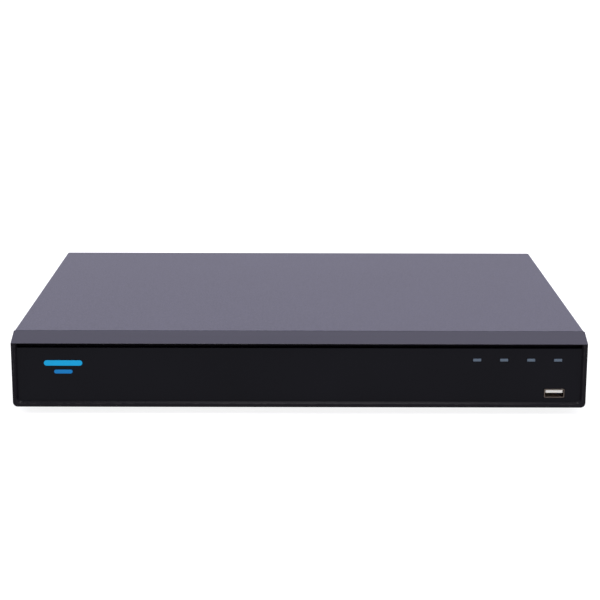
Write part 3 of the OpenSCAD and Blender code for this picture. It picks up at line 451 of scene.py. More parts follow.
# %% [markdown]
# ## The top cover
# One sheet of steel folded over the top and both sides, in a fine textured powder coat. Seen
# almost edge on it turns from black to a purplish grey, because the grains reflect the sky. The
# grain is a noise finer than a millimetre, deep enough to scatter the reflection.

# %% Cover


def cover_paint():
    """Textured powder coat: a dark base, with grains that sparkle lighter."""
    made, tree, shader = new_material("cover_paint", specular=0.5)
    place = add_node(tree, "ShaderNodeTexCoord").outputs["Object"]
    fine = place_group(tree, "fine_texture", Scale=1300, Patches=9)
    grains = add_node(tree, "ShaderNodeTexVoronoi", {"Vector": place, "Scale": 1150.0}).outputs["Distance"]
    speck = add_node(tree, "ShaderNodeMapRange", {"Value": grains, "From Min": 0.1, "From Max": 0.6}).outputs[0]
    base = mix_colours(tree, speck, (0.055, 0.053, 0.09), (0.025, 0.024, 0.042))
    patched = mix_colours(tree, math_node(tree, "MULTIPLY", fine["Mottle"], 0.35), base, (0.051, 0.05, 0.081))
    worn = mix_colours(tree, place_group(tree, "edge_wear_and_glint", Amount=0.25)["Mask"], patched, (0.2, 0.2, 0.22))
    tree.links.new(worn, shader.inputs["Base Color"])
    rough = add_node(tree, "ShaderNodeMapRange", {"Value": fine["Height"], "To Min": 0.42, "To Max": 0.62})
    tree.links.new(rough.outputs[0], shader.inputs["Roughness"])
    bump(tree, shader, math_node(tree, "ADD", fine["Height"], speck), 0.035 * MM)
    return made


COVER_PAINT = cover_paint()
cover = clean_copy("top_cover_shell", "top_cover", COVER_PAINT, "cover", radius=0.12)
print("cover faces:", len(cover.data.polygons))

# %% [markdown]
# ## The front bezel
# The bezel is one moulding with two finishes. Its sloping strip is smooth satin with faint
# drawn-out streaks along its length, and the rim is a finer moulded black. The rim's rounded
# edges take a lighter brownish colour, which is partly rubbed wear and partly a painted glint on
# its corners. The copy of the moulding gives each face one of the two by where the face looks.

# %% Bezel
strip_finish = finish("strip_satin", (0.024, 0.023, 0.037), 0.36, specular=0.4, texture=(1, 0.004),
                      streak=(6, 900, 900), patches=(60, 0.22), wear=0.2, wear_and_glint_colour=(0.12, 0.12, 0.13))
# the rim's lighter brownish edge colour is partly rubbed wear and partly a painted glint where light catches its
# corners
rim_finish_with_painted_glint = finish("bezel_plastic", (0.0036, 0.003, 0.0048), 0.3, specular=0.085, texture=(2600, 0.004),
                    wear=0.16, wear_and_glint_colour=(0.06, 0.05, 0.048))


def on_strip(face):
    """1 for faces of the sloping strip, 0 elsewhere."""
    return int(face.normal.z > 0.7 and face.calc_center_median().z > bezel_high.z - 8 * MM)


def on_outer_rim(edge):
    """True for the front edge round the sides and the bottom of the rim."""
    ends = [v.co for v in edge.verts]
    in_front = all(c.y < bezel_low.y + 0.05 * MM for c in ends)
    outside = all(min(c.x - bezel_low.x, bezel_high.x - c.x, c.z - bezel_low.z) < 1.2 * MM for c in ends)
    return in_front and outside and min(c.z for c in ends) < bezel_low.z + 30 * MM


bezel = clean_copy("bezel_moulding", "front_bezel", [rim_finish_with_painted_glint, strip_finish], radius=0.3, steps=3,
                   pick=on_strip, merge=0.03, broad=(on_outer_rim, 0.9))
print("bezel faces:", len(bezel.data.polygons))

# %% [markdown]
# ## The fascia
# A flat plate of smooth satin black closes the front. It is so dark that only its faint sheen
# shows. Four clear windows end flush with it, and a steel socket sits in its lower right.

# %% Fascia, mark and windows
fascia_finish = finish("fascia_plastic", (0.0036, 0.0036, 0.0052), 0.33, specular=0.06,
                       texture=(3000, 0.003), patches=(14, 0.25))
clean_copy("fascia_plate", "fascia_panel", fascia_finish, radius=0.15)

cyan_ink = finish("cyan_ink", (0.0, 0.25, 0.47), 0.4, specular=0.15, texture=(4000, 0.002), patches=(200, 0.05))
blue_ink = finish("blue_ink", (0.0, 0.13, 0.34), 0.4, specular=0.15, texture=(4000, 0.002), patches=(200, 0.05))
badge_low, badge_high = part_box("badge")
badge_mid = (badge_low.z + badge_high.z) / 2
clean_copy("front_mark", "badge", [cyan_ink, blue_ink], radius=0.12,
           pick=lambda face: int(face.calc_center_median().z < badge_mid))

window_plastic = finish("window_plastic", (0.05, 0.08, 0.115), 0.3, texture=(3000, 0.003), patches=(900, 0.2),
                        Transmission_Weight=0.15)
clean_copy("indicator_pipe", "light_pipe", window_plastic, radius=0.15)


# %% [markdown]
# ## Tools for repeated and drawn-out pieces
# A recorder is full of things that come in rows or follow a path: sockets, screws, chip leads,
# wires. Each kind is one Geometry Nodes tree, built here with named inputs. A tree runs on a
# small mesh of points or edges, ends in real geometry with one material, and leaves a plain
# mesh behind.

# %% Start, end and run a tree


def start_tree(name, inputs):
    """A Geometry Nodes tree with a geometry input, named inputs, and a material input."""
    tree = bpy.data.node_groups.new(name, "GeometryNodeTree")
    tree.interface.new_socket("Geometry", in_out="INPUT", socket_type="NodeSocketGeometry")
    for label, (kind, value) in {**inputs, "Material": ("Material", None)}.items():
        socket = tree.interface.new_socket(label, in_out="INPUT", socket_type="NodeSocket" + kind)
        if value is not None:
            socket.default_value = value
    tree.interface.new_socket("Geometry", in_out="OUTPUT", socket_type="NodeSocketGeometry")
    return tree, tree.nodes.new("NodeGroupInput").outputs, tree.nodes.new("NodeGroupOutput").inputs


def end_tree(tree, given, out, geometry):
    """Ends a tree: instances become real geometry, and all of it takes the material."""
    real = add_node(tree, "GeometryNodeRealizeInstances", {"Geometry": geometry}).outputs[0]
    painted = add_node(tree, "GeometryNodeSetMaterial", {"Geometry": real, "Material": given["Material"]})
    tree.links.new(painted.outputs[0], out[0])


def grow(tree, mesh, **values):
    """Runs a tree on a mesh and gives back a plain mesh. Inputs are set by socket identifier."""
    seed = bpy.data.objects.new("seed", mesh)
    bpy.context.scene.collection.objects.link(seed)
    modifier = seed.modifiers.new("grow", "NODES")
    modifier.node_group = tree
    for item in tree.interface.items_tree:
        if item.item_type == "SOCKET" and item.in_out == "INPUT" and item.name in values:
            modifier[item.identifier] = values[item.name]
    graph = bpy.context.evaluated_depsgraph_get()
    made = bpy.data.meshes.new_from_object(seed.evaluated_get(graph), depsgraph=graph)
    bpy.data.objects.remove(seed)
    return made


# %% The three trees: repeat, scatter and sweep


def repeat_tree():
    """One piece at every point, turned and sized by the point's own attributes."""
    tree, given, out = start_tree("repeat_at_points", {"Piece": ("Object", None)})
    piece = add_node(tree, "GeometryNodeObjectInfo", {"Object": given["Piece"]}).outputs["Geometry"]
    turn = add_node(tree, "GeometryNodeInputNamedAttribute", {"Name": "turn"},
                    data_type="FLOAT_VECTOR").outputs["Attribute"]
    size = add_node(tree, "GeometryNodeInputNamedAttribute", {"Name": "size"},
                    data_type="FLOAT_VECTOR").outputs["Attribute"]
    rotation = add_node(tree, "FunctionNodeEulerToRotation", {0: turn}).outputs[0]
    placed = add_node(tree, "GeometryNodeInstanceOnPoints",
                      {"Points": given["Geometry"], "Instance": piece, "Rotation": rotation,
                       "Scale": size}).outputs[0]
    end_tree(tree, given, out, placed)
    return tree


def scatter_tree():
    """Pieces strewn over faces, never closer than a spacing, each square to the board."""
    tree, given, out = start_tree("scatter_on_faces", {
        "Piece": ("Object", None), "Spacing": ("Float", 0.004), "Density": ("Float", 60000.0),
        "Seed": ("Int", 1)})
    points = add_node(tree, "GeometryNodeDistributePointsOnFaces",
                      {"Mesh": given["Geometry"], "Distance Min": given["Spacing"],
                       "Density Max": given["Density"], "Seed": given["Seed"]},
                      distribute_method="POISSON").outputs["Points"]
    quarter = add_node(tree, "FunctionNodeRandomValue", {"Seed": given["Seed"]}, data_type="INT")
    quarter.inputs[4].default_value = 0
    quarter.inputs[5].default_value = 3
    angle = math_node(tree, "MULTIPLY", quarter.outputs[2], math.pi / 2)
    turn = add_node(tree, "ShaderNodeCombineXYZ", {2: angle}).outputs[0]
    rotation = add_node(tree, "FunctionNodeEulerToRotation", {0: turn}).outputs[0]
    piece = add_node(tree, "GeometryNodeObjectInfo", {"Object": given["Piece"]}).outputs["Geometry"]
    placed = add_node(tree, "GeometryNodeInstanceOnPoints",
                      {"Points": points, "Instance": piece, "Rotation": rotation}).outputs[0]
    end_tree(tree, given, out, placed)
    return tree


def sweep_tree():
    """A profile drawn along a smooth curve through the points of a route."""
    tree, given, out = start_tree("sweep_along_route", {
        "Profile": ("Object", None), "Spacing": ("Float", 0.0012)})
    line = add_node(tree, "GeometryNodeMeshToCurve", {"Mesh": given["Geometry"]}).outputs[0]
    bent = add_node(tree, "GeometryNodeCurveSplineType", {"Curve": line}, spline_type="CATMULL_ROM").outputs[0]
    even = add_node(tree, "GeometryNodeResampleCurve", {"Curve": bent, "Length": given["Spacing"]},
                    mode="LENGTH")
    profile = add_node(tree, "GeometryNodeObjectInfo", {"Object": given["Profile"]}).outputs["Geometry"]
    body = add_node(tree, "GeometryNodeCurveToMesh",
                    {"Curve": even.outputs[0], "Profile Curve": profile, "Fill Caps": True}).outputs[0]
    end_tree(tree, given, out, body)
    return tree


REPEAT, SCATTER, SWEEP = repeat_tree(), scatter_tree(), sweep_tree()
print("trees:", [tree.name for tree in (REPEAT, SCATTER, SWEEP)])

# %% [markdown]
# ## Turned, pressed and moulded shapes
# Turned parts are a profile swung round an axis, the way a lathe cuts them. Moulded blocks have
# rounded edges, because a mould can't make a sharp one. Both are short functions, so that each
# part below is only its list of sizes.

# %% Makers of plain shapes


def lathe(profile, sides=32, closed=False):
    """A shape turned about +Y from (radius, distance) pairs in millimetres."""
    shape = bmesh.new()
    rings = []
    for radius, distance in profile:
        if radius == 0:
            rings.append([shape.verts.new((0, distance * MM, 0))])
            continue
        rings.append([shape.verts.new((radius * MM * math.sin(2 * math.pi * i / sides), distance * MM,
                                       radius * MM * math.cos(2 * math.pi * i / sides)))
                      for i in range(sides)])
    pairs = list(zip(rings, rings[1:] + ([rings[0]] if closed else [])))
    for first, second in pairs:
        for i in range(sides):
            j = (i + 1) % sides
            corners = [first[i % len(first)], first[j % len(first)], second[j % len(second)],
                       second[i % len(second)]]
            corners = list(dict.fromkeys(corners))
            if len(corners) > 2:
                shape.faces.new(corners)
    bmesh.ops.recalc_face_normals(shape, faces=shape.faces)
    return shape


def rounded_blocks(boxes, radius=0.3, steps=2):
    """Moulded blocks from (low corner, high corner) pairs in millimetres."""
    shape = bmesh.new()
    for low_corner, high_corner in boxes:
        low_point, high_point = Vector(low_corner), Vector(high_corner)
        size = high_point - low_point
        place = Matrix.Translation((low_point + high_point) / 2 * MM) @ Matrix.Diagonal((*(size * MM), 1))
        made = bmesh.ops.create_cube(shape, size=1, matrix=place)
        if radius:
            edges = {e for v in made["verts"] for e in v.link_edges}
            bmesh.ops.bevel(shape, geom=list(edges), offset=radius * MM, segments=steps, profile=0.5,
                            affect="EDGES", clamp_overlap=True)
    return shape


def prism(outline, low_x, high_x):
    """An outline in Y and Z, drawn out along X, in millimetres."""
    shape = bmesh.new()
    ends = [[shape.verts.new((x * MM, y * MM, z * MM)) for y, z in outline] for x in (low_x, high_x)]
    count = len(outline)
    for i in range(count):
        j = (i + 1) % count
        shape.faces.new((ends[0][i], ends[0][j], ends[1][j], ends[1][i]))
    for end in ends:
        shape.faces.new(end)
    bmesh.ops.recalc_face_normals(shape, faces=shape.faces)
    return shape


def mesh_from(shape, name):
    """A mesh from a bmesh, which is freed."""
    mesh = bpy.data.meshes.new(name)
    shape.to_mesh(mesh)
    shape.free()
    return mesh


def place_mesh(name, mesh, material=None, body="chassis", slot=None, nodes=(), angle=38):
    """A finished piece from a plain mesh, which stands for the nodes it names."""
    if material:
        mesh.materials.clear()
        mesh.materials.append(material)
    mesh.polygons.foreach_set("use_smooth", [True] * len(mesh.polygons))
    mesh.set_sharp_from_angle(angle=math.radians(angle))
    made = bpy.data.objects.new(name, mesh)
    bpy.context.scene.collection.objects.link(made)
    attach(made, body)
    if nodes:
        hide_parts(*([nodes] if isinstance(nodes, str) else nodes))
    return made


def spots(places):
    """A mesh of points from (point in mm, turn) or (point in mm, turn, size)."""
    full = [place if len(place) == 3 else (*place, (1, 1, 1)) for place in places]
    mesh = bpy.data.meshes.new("spots")
    mesh.from_pydata([Vector(point) * MM for point, turn, size in full], [], [])
    for label, column in (("turn", 1), ("size", 2)):
        layer = mesh.attributes.new(label, "FLOAT_VECTOR", "POINT")
        layer.data.foreach_set("vector", [value for row in full for value in row[column]])
    return mesh


def helper_object(data, name="helper"):
    """An object that a tree reads, such as the piece that it repeats."""
    made = bpy.data.objects.new(name, data)
    bpy.context.scene.collection.objects.link(made)
    return made


def repeat_piece(name, shape, places, material, **keys):
    """One shape at many places, as one plain mesh."""
    piece = helper_object(mesh_from(shape, name + "_one"))
    mesh = grow(REPEAT, spots(places), Piece=piece, Material=material)
    bpy.data.objects.remove(piece)
    return place_mesh(name, mesh, **keys)


def round_profile(circles, sides=12):
    """A curve object of closed circles, given as (x, y, radius) in millimetres."""
    data = bpy.data.curves.new("profile", "CURVE")
    for x, y, radius in circles:
        spline = data.splines.new("POLY")
        spline.points.add(sides - 1)
        for i in range(sides):
            turn = 2 * math.pi * i / sides
            spline.points[i].co = ((x + radius * math.cos(turn)) * MM, (y + radius * math.sin(turn)) * MM, 0, 1)
        spline.use_cyclic_u = True
    return helper_object(data)


def sweep_piece(name, route, circles, material, sides=12, spacing=1.2, **keys):
    """Round wires drawn along a route of points in millimetres."""
    line = bpy.data.meshes.new("route")
    line.from_pydata([Vector(p) * MM for p in route], [(i, i + 1) for i in range(len(route) - 1)], [])
    profile = round_profile(circles, sides)
    mesh = grow(SWEEP, line, Profile=profile, Spacing=spacing * MM, Material=material)
    bpy.data.objects.remove(profile)
    return place_mesh(name, mesh, **keys)

# %% [markdown]
# ## More finishes
# Inside and at the back there are plated and brushed metals, moulded plastics, rubber, solder
# mask and cable jackets. Zinc plating shows the soft flakes of its crystals. A circuit board is
# green lacquer over copper, so its tracks show as raised lines of a lighter green.

# %% Metals


def zinc_plate():
    """Zinc on sheet steel: grey, with large soft crystals of changing gloss."""
    made, tree, shader = new_material("zinc_plate", metal=1.0)
    place = add_node(tree, "ShaderNodeTexCoord").outputs["Object"]
    flakes = add_node(tree, "ShaderNodeTexVoronoi", {"Vector": place, "Scale": 460.0})
    tone = add_node(tree, "ShaderNodeSeparateColor", {0: flakes.outputs["Color"]}).outputs[0]
    base = mix_colours(tree, tone, (0.39, 0.4, 0.41), (0.47, 0.48, 0.485))
    dusty = mix_colours(tree, place_group(tree, "dust", Amount=0.25)["Mask"], base, (0.3, 0.29, 0.27))
    tree.links.new(dusty, shader.inputs["Base Color"])
    rough = add_node(tree, "ShaderNodeMapRange", {"Value": tone, "To Min": 0.33, "To Max": 0.42}).outputs[0]
    tree.links.new(rough, shader.inputs["Roughness"])
    bump(tree, shader, place_group(tree, "streaks", Along_X=30, Along_Y=1500, Along_Z=1500)["Streak"],
         0.004 * MM)
    return made


ZINC = zinc_plate()
PANEL = finish("panel_powder_coat", (0.022, 0.022, 0.026), 0.5, texture=(1500, 0.03), wear=0.35,
               wear_and_glint_colour=(0.14, 0.14, 0.15), dust=0.12)
NICKEL = finish("nickel", (0.56, 0.55, 0.53), 0.2, metal=1.0, texture=(900, 0.003), patches=(160, 0.06),
                wear=0.15, wear_and_glint_colour=(0.66, 0.65, 0.62), gloss_change=0.3)
SCREW_STEEL = finish("screw_steel", (0.5, 0.5, 0.5), 0.28, metal=1.0, texture=(1800, 0.004),
                     patches=(300, 0.12), gloss_change=0.3)
STAINLESS = finish("brushed_stainless", (0.4, 0.41, 0.42), 0.34, metal=1.0, texture=(1, 0.004),
                   patches=(40, 0.07), streak=(14, 2200, 2200))
CASTING = finish("die_cast", (0.4, 0.41, 0.42), 0.42, metal=1.0, texture=(420, 0.05), patches=(70, 0.12),
                 wear=0.4, wear_and_glint_colour=(0.62, 0.63, 0.64))
ANODISED = finish("black_anodised", (0.022, 0.022, 0.025), 0.38, metal=0.6, texture=(1, 0.006),
                  patches=(80, 0.2), streak=(1600, 26, 1600), wear=0.5, wear_and_glint_colour=(0.3, 0.3, 0.31))
MIRROR = finish("disc_mirror", (0.72, 0.71, 0.7), 0.05, metal=1.0, texture=(200, 0.0004), patches=(30, 0.02),
                gloss_change=0.3)
GOLD = finish("gold_flash", (0.72, 0.46, 0.15), 0.26, metal=1.0, texture=(2500, 0.002), patches=(500, 0.12))
TIN = finish("tinned_lead", (0.52, 0.53, 0.54), 0.32, metal=1.0, texture=(3000, 0.003), patches=(700, 0.14))

# %% Plastics, rubber and jackets
SOCKET_BLACK = finish("socket_black", (0.014, 0.014, 0.015), 0.42, texture=(1900, 0.012), wear=0.3,
                      wear_and_glint_colour=(0.07, 0.07, 0.072), dust=0.06)
CHIP_BLACK = finish("chip_resin", (0.02, 0.02, 0.022), 0.6, texture=(3200, 0.012), patches=(180, 0.2),
                    wear=0.3, wear_and_glint_colour=(0.08, 0.08, 0.08), dust=0.1)
FAN_BLACK = finish("fan_plastic", (0.02, 0.02, 0.021), 0.45, texture=(1500, 0.014), wear=0.25,
                   wear_and_glint_colour=(0.07, 0.07, 0.07), dust=0.15)
RUBBER = finish("foot_rubber", (0.016, 0.016, 0.017), 0.82, specular=0.3, texture=(1100, 0.03),
                patches=(120, 0.2), dust=0.3)
IVORY = finish("ivory_plastic", (0.62, 0.6, 0.53), 0.4, texture=(2200, 0.006), patches=(130, 0.06), dust=0.1,
               Subsurface_Weight=0.08)
WHITE_PTFE = finish("white_insulator", (0.72, 0.71, 0.68), 0.45, texture=(2200, 0.004), patches=(300, 0.05),
                    Subsurface_Weight=0.1)
AUDIO_WHITE = finish("audio_white", (0.66, 0.65, 0.62), 0.3, texture=(2200, 0.004), patches=(300, 0.05))
AUDIO_RED = finish("audio_red", (0.5, 0.02, 0.015), 0.3, texture=(2200, 0.004), patches=(300, 0.1))
DISPLAY_BLUE = finish("display_blue", (0.012, 0.035, 0.3), 0.36, texture=(2200, 0.006), patches=(260, 0.12))
DATA_BLUE = finish("data_blue", (0.02, 0.08, 0.32), 0.4, texture=(2200, 0.006), patches=(200, 0.12))
TERMINAL_GREEN = finish("terminal_green", (0.012, 0.19, 0.06), 0.34, texture=(2000, 0.007),
                        patches=(150, 0.12), wear=0.3, wear_and_glint_colour=(0.05, 0.33, 0.14))
ROCKER_BLACK = finish("rocker_gloss", (0.012, 0.012, 0.013), 0.2, texture=(2600, 0.003), patches=(90, 0.15),
                      wear=0.2, wear_and_glint_colour=(0.06, 0.06, 0.06))
LED_WHITE = finish("lamp_body", (0.75, 0.74, 0.68), 0.35, texture=(2500, 0.004), patches=(700, 0.06))
RED_JACKET = finish("red_jacket", (0.42, 0.012, 0.01), 0.4, texture=(700, 0.01), patches=(90, 0.12))
BLACK_JACKET = finish("black_jacket", (0.014, 0.014, 0.014), 0.42, texture=(700, 0.01), patches=(90, 0.2))
YELLOW_JACKET = finish("yellow_jacket", (0.62, 0.42, 0.03), 0.42, texture=(700, 0.01), patches=(90, 0.12))
WHITE_JACKET = finish("white_jacket", (0.62, 0.62, 0.6), 0.42, texture=(700, 0.01), patches=(90, 0.08))
PAPER = finish("blank_label", (0.62, 0.63, 0.64), 0.5, texture=(900, 0.008), patches=(60, 0.05))
FERRITE = finish("ferrite", (0.055, 0.055, 0.06), 0.55, texture=(1500, 0.03), patches=(240, 0.2), wear=0.4,
                 wear_and_glint_colour=(0.16, 0.16, 0.165))

# %% Circuit board


def board_lacquer(name, mask, copper):
    """Solder mask over copper: two layers of parallel tracks, and a scatter of small vias."""
    made, tree, shader = new_material(name, specular=0.5, Coat_Weight=0.25, Coat_Roughness=0.2)
    place = add_node(tree, "ShaderNodeTexCoord").outputs["Object"]
    masks = []
    for turn, scale, offset in ((0.0, 95.0, 0.37), (math.pi / 2, 80.0, 0.61)):
        turned = add_node(tree, "ShaderNodeMapping", {"Vector": place, "Rotation": (0, 0, turn),
                                                      "Location": (offset, offset, 0)}).outputs[0]
        tracks = add_node(tree, "ShaderNodeTexBrick", {
            "Vector": turned, "Scale": scale, "Mortar Size": 0.022, "Mortar Smooth": 0.3, "Brick Width": 1.7,
            "Row Height": 0.085}, offset=offset, squash=1.4)
        where = add_node(tree, "ShaderNodeTexNoise", {"Vector": turned, "Scale": 42.0, "Detail": 0.0}).outputs[0]
        part = add_node(tree, "ShaderNodeMapRange", {"Value": where, "From Min": 0.5, "From Max": 0.52}).outputs[0]
        masks.append(math_node(tree, "MULTIPLY", tracks.outputs["Fac"], part))
    tracks = math_node(tree, "MAXIMUM", *masks)
    vias = add_node(tree, "ShaderNodeTexVoronoi", {"Vector": place, "Scale": 260.0}).outputs["Distance"]
    ring = add_node(tree, "ShaderNodeMapRange", {"Value": vias, "From Min": 0.16, "From Max": 0.12}).outputs[0]
    sparse = add_node(tree, "ShaderNodeTexNoise", {"Vector": place, "Scale": 60.0, "Detail": 0.0}).outputs[0]
    some = add_node(tree, "ShaderNodeMapRange", {"Value": sparse, "From Min": 0.5, "From Max": 0.56}).outputs[0]
    via = math_node(tree, "MULTIPLY", ring, some)
    fine = place_group(tree, "fine_texture", Scale=1300, Patches=70)
    base = mix_colours(tree, fine["Mottle"], shade(mask, 0.75), shade(mask, 1.25))
    tracked = mix_colours(tree, tracks, base, copper)
    drilled = mix_colours(tree, via, tracked, (0.5, 0.42, 0.22))
    dusty = mix_colours(tree, place_group(tree, "dust", Amount=0.12)["Mask"], drilled, (0.3, 0.3, 0.28))
    tree.links.new(dusty, shader.inputs["Base Color"])
    rough = add_node(tree, "ShaderNodeMapRange", {"Value": fine["Height"], "To Min": 0.28, "To Max": 0.4})
    tree.links.new(rough.outputs[0], shader.inputs["Roughness"])
    bump(tree, shader, math_node(tree, "ADD", tracks, math_node(tree, "MULTIPLY", fine["Height"], 0.2)),
         0.03 * MM)
    return made


BOARD_GREEN = board_lacquer("board_green", (0.006, 0.07, 0.024), (0.014, 0.15, 0.05))
DRIVE_GREEN = board_lacquer("drive_board_green", (0.004, 0.05, 0.03), (0.01, 0.11, 0.06))


def two_tone(name, mark, first, second, roughness=0.35, metal_first=False):
    """A finish that changes colour where the piece's own attribute says so."""
    made, tree, shader = new_material(name)
    flag = add_node(tree, "ShaderNodeAttribute", attribute_name=mark).outputs["Fac"]
    fine = place_group(tree, "fine_texture", Scale=2200, Patches=400)
    varied = mix_colours(tree, fine["Mottle"], shade(first, 0.88), shade(first, 1.12))
    tree.links.new(mix_colours(tree, flag, varied, second), shader.inputs["Base Color"])
    tree.links.new(flag, shader.inputs["Metallic"])
    rough = add_node(tree, "ShaderNodeMapRange", {"Value": fine["Height"], "To Min": roughness * 0.8,
                                                  "To Max": roughness * 1.2})
    tree.links.new(rough.outputs[0], shader.inputs["Roughness"])
    bump(tree, shader, fine["Height"], 0.006 * MM)
    return made


RESISTOR = two_tone("resistor", "tinned", (0.02, 0.02, 0.024), (0.5, 0.5, 0.5))
CERAMIC = two_tone("ceramic", "tinned", (0.3, 0.2, 0.11), (0.52, 0.52, 0.52))
SLEEVE = two_tone("capacitor_sleeve", "bare", (0.02, 0.022, 0.035), (0.55, 0.56, 0.57))

# %% [markdown]
# ## Screws
# Every screw is a pan head with a cross recess, turned and then punched. One blank is made at
# each size by turning its profile, with the thread as close rings, and cutting a tapered cross
# into the head. The repeat tree then puts it in each hole.

# %% Screws


def screw_blank(head, height, shank, length):
    """A pan head screw: its underside at the origin, its head towards +Y."""
    dome = [(head * math.cos(a), height * (0.35 + 0.65 * math.sin(a)))
            for a in (math.radians(v) for v in (0, 18, 36, 54, 72))]
    thread = []
    pitch = shank * 0.36
    for i in range(int(length / pitch)):
        thread += [(shank, -pitch * (i + 0.25)), (shank * 0.86, -pitch * (i + 0.75))]
    profile = [(0, height)] + dome[::-1] + [(head, 0.06), (head - 0.06, 0), (shank, 0)] + thread + \
        [(shank * 0.7, -length), (0, -length)]
    blank = helper_object(mesh_from(lathe(profile, 28), "screw_blank"))
    cutter = bmesh.new()
    for turn in (0, math.pi / 2):
        corners = [Vector((x * wide * MM, y * MM, z * wide * MM))
                   for y, wide in ((height * 0.32, 0.62), (height * 1.3, 1.0))
                   for x, z in ((-head * 0.62, -head * 0.14), (head * 0.62, -head * 0.14),
                                (head * 0.62, head * 0.14), (-head * 0.62, head * 0.14))]
        points = [cutter.verts.new(Matrix.Rotation(turn, 3, "Y") @ c) for c in corners]
        for face in ((0, 1, 2, 3), (7, 6, 5, 4), (0, 4, 5, 1), (1, 5, 6, 2), (2, 6, 7, 3), (3, 7, 4, 0)):
            cutter.faces.new([points[i] for i in face])
    bmesh.ops.recalc_face_normals(cutter, faces=cutter.faces)
    tool = helper_object(mesh_from(cutter, "cross_tool"))
    cut = blank.modifiers.new("cross", "BOOLEAN")
    cut.operation, cut.object, cut.solver, cut.use_self = "DIFFERENCE", tool, "EXACT", True
    graph = bpy.context.evaluated_depsgraph_get()
    mesh = bpy.data.meshes.new_from_object(blank.evaluated_get(graph), depsgraph=graph)
    for helper in (blank, tool):
        bpy.data.objects.remove(helper)
    shape = bmesh.new()
    shape.from_mesh(mesh)
    return shape


def node_centres(node):
    """The middle of each separate solid of a node, in millimetres."""
    shape = bmesh.new()
    shape.from_mesh(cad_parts[node].data)
    bmesh.ops.remove_doubles(shape, verts=shape.verts, dist=2e-6)
    seen, centres = set(), []
    for start in shape.verts:
        if start in seen:
            continue
        seen.add(start)
        island, waiting = [], [start]
        while waiting:
            vert = waiting.pop()
            island.append(vert.co.copy())
            for edge in vert.link_edges:
                other = edge.other_vert(vert)
                if other not in seen:
                    seen.add(other)
                    waiting.append(other)
        centres.append([((min(c[i] for c in island) + max(c[i] for c in island)) / 2) / MM for i in range(3)])
    shape.free()
    return centres


UP, DOWN, BACK = (math.pi / 2, 0, 0), (-math.pi / 2, 0, 0), (0, 0, 0)
back_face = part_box("top_cover")[1].y / MM
panel_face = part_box("rear_panel")[1].y / MM
board_low, board_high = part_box("mainboard")
deck = board_high.z / MM
cover_screw_spots = [((x, back_face, z), BACK) for x, y, z in node_centres("cover_screws")]
repeat_piece("cover_screw_heads", screw_blank(2.8, 1.9, 1.5, 6), cover_screw_spots, SCREW_STEEL,
             body="cover", slot="screw_steel", nodes="cover_screws")
rear_spots = node_centres("rear_panel_screws")
ground = min(rear_spots, key=lambda p: p[0])
fan_spots = [p for p in rear_spots if p is not ground]
fan_screws = repeat_piece("fan_screw_heads", screw_blank(3.2, 2.0, 2.1, 9),
                          [((x, panel_face, z), BACK) for x, y, z in fan_spots], SCREW_STEEL,
                          slot="screw_steel")
ground_screw = repeat_piece("ground_screw", screw_blank(3.6, 2.2, 1.95, 6),
                            [((ground[0], panel_face, ground[2]), BACK)], GOLD, slot="screw_steel")
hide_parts("rear_panel_screws")
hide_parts("rear_panel_screws")
chassis_spots = []
for x, y, z in node_centres("chassis_screws"):
    if y > board_low.y / MM:
        chassis_spots.append(((x, y, deck), UP))
    elif z < 20:
        chassis_spots.append(((x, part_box("base_pan")[0].y / MM + 1, z), BACK))
    else:
        chassis_spots.append(((x, y + 1.8, z), BACK))
repeat_piece("chassis_screw_heads", screw_blank(2.8, 1.9, 1.5, 5.6), chassis_spots, SCREW_STEEL,
             slot="screw_steel", nodes="chassis_screws")
drive_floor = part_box("base_pan")[0].z / MM
repeat_piece("drive_screw_heads", screw_blank(3.4, 1.2, 1.6, 9),
             [((x, y, drive_floor), DOWN) for x, y, z in node_centres("drive_screws")], SCREW_STEEL,
             slot="screw_steel", nodes="drive_screws")
print("chassis screws:", len(chassis_spots), "rear:", len(rear_spots))

# %% [markdown]
# ## Pan, rear panel and feet
# The pan is one folded sheet of zinc-plated steel with raised bosses for the drives. The rear
# panel is punched for every socket and coated black. The feet are turned rubber discs with a
# hollow underneath, which lets them grip a shelf.

# %% Pan, rear panel, feet and standoffs
clean_copy("folded_pan", "base_pan", ZINC, radius=0.1, steps=1)
clean_copy("punched_rear_panel", "rear_panel", PANEL, radius=0.1, steps=1)
clean_copy("hex_standoffs", "board_standoffs", TIN, radius=0.2)
foot_profile = [(0, 1.1), (3.2, 1.1), (3.6, 0.6), (5.6, 0.35), (6.4, 0), (7.9, 0), (8.35, 0.25), (8.6, 0.9),
                (8.75, 1.9), (8.6, 2.1), (8.6, 2.4), (8.8, 2.6), (9, 4.2), (9, 6.1), (0, 6.1)]
foot_spots = [((x, y, 0), (math.pi / 2, 0, 0)) for x, y, z in node_centres("rubber_feet")]
repeat_piece("turned_feet", lathe(foot_profile, 48), foot_spots, RUBBER, slot="foot_rubber",
             nodes="rubber_feet")

# %% [markdown]
# ## Camera inputs
# Sixteen bayonet sockets stand in eight columns on one black moulding. Each is a turned and
# nickel-plated barrel with a flange, two lugs that a plug's collar turns onto, a white
# insulator inside it, and a hollow gold contact in the middle.

# %% Camera inputs


def oriented(places):
    """Places that need no turn."""
    return [(tuple(p), BACK) for p in places]


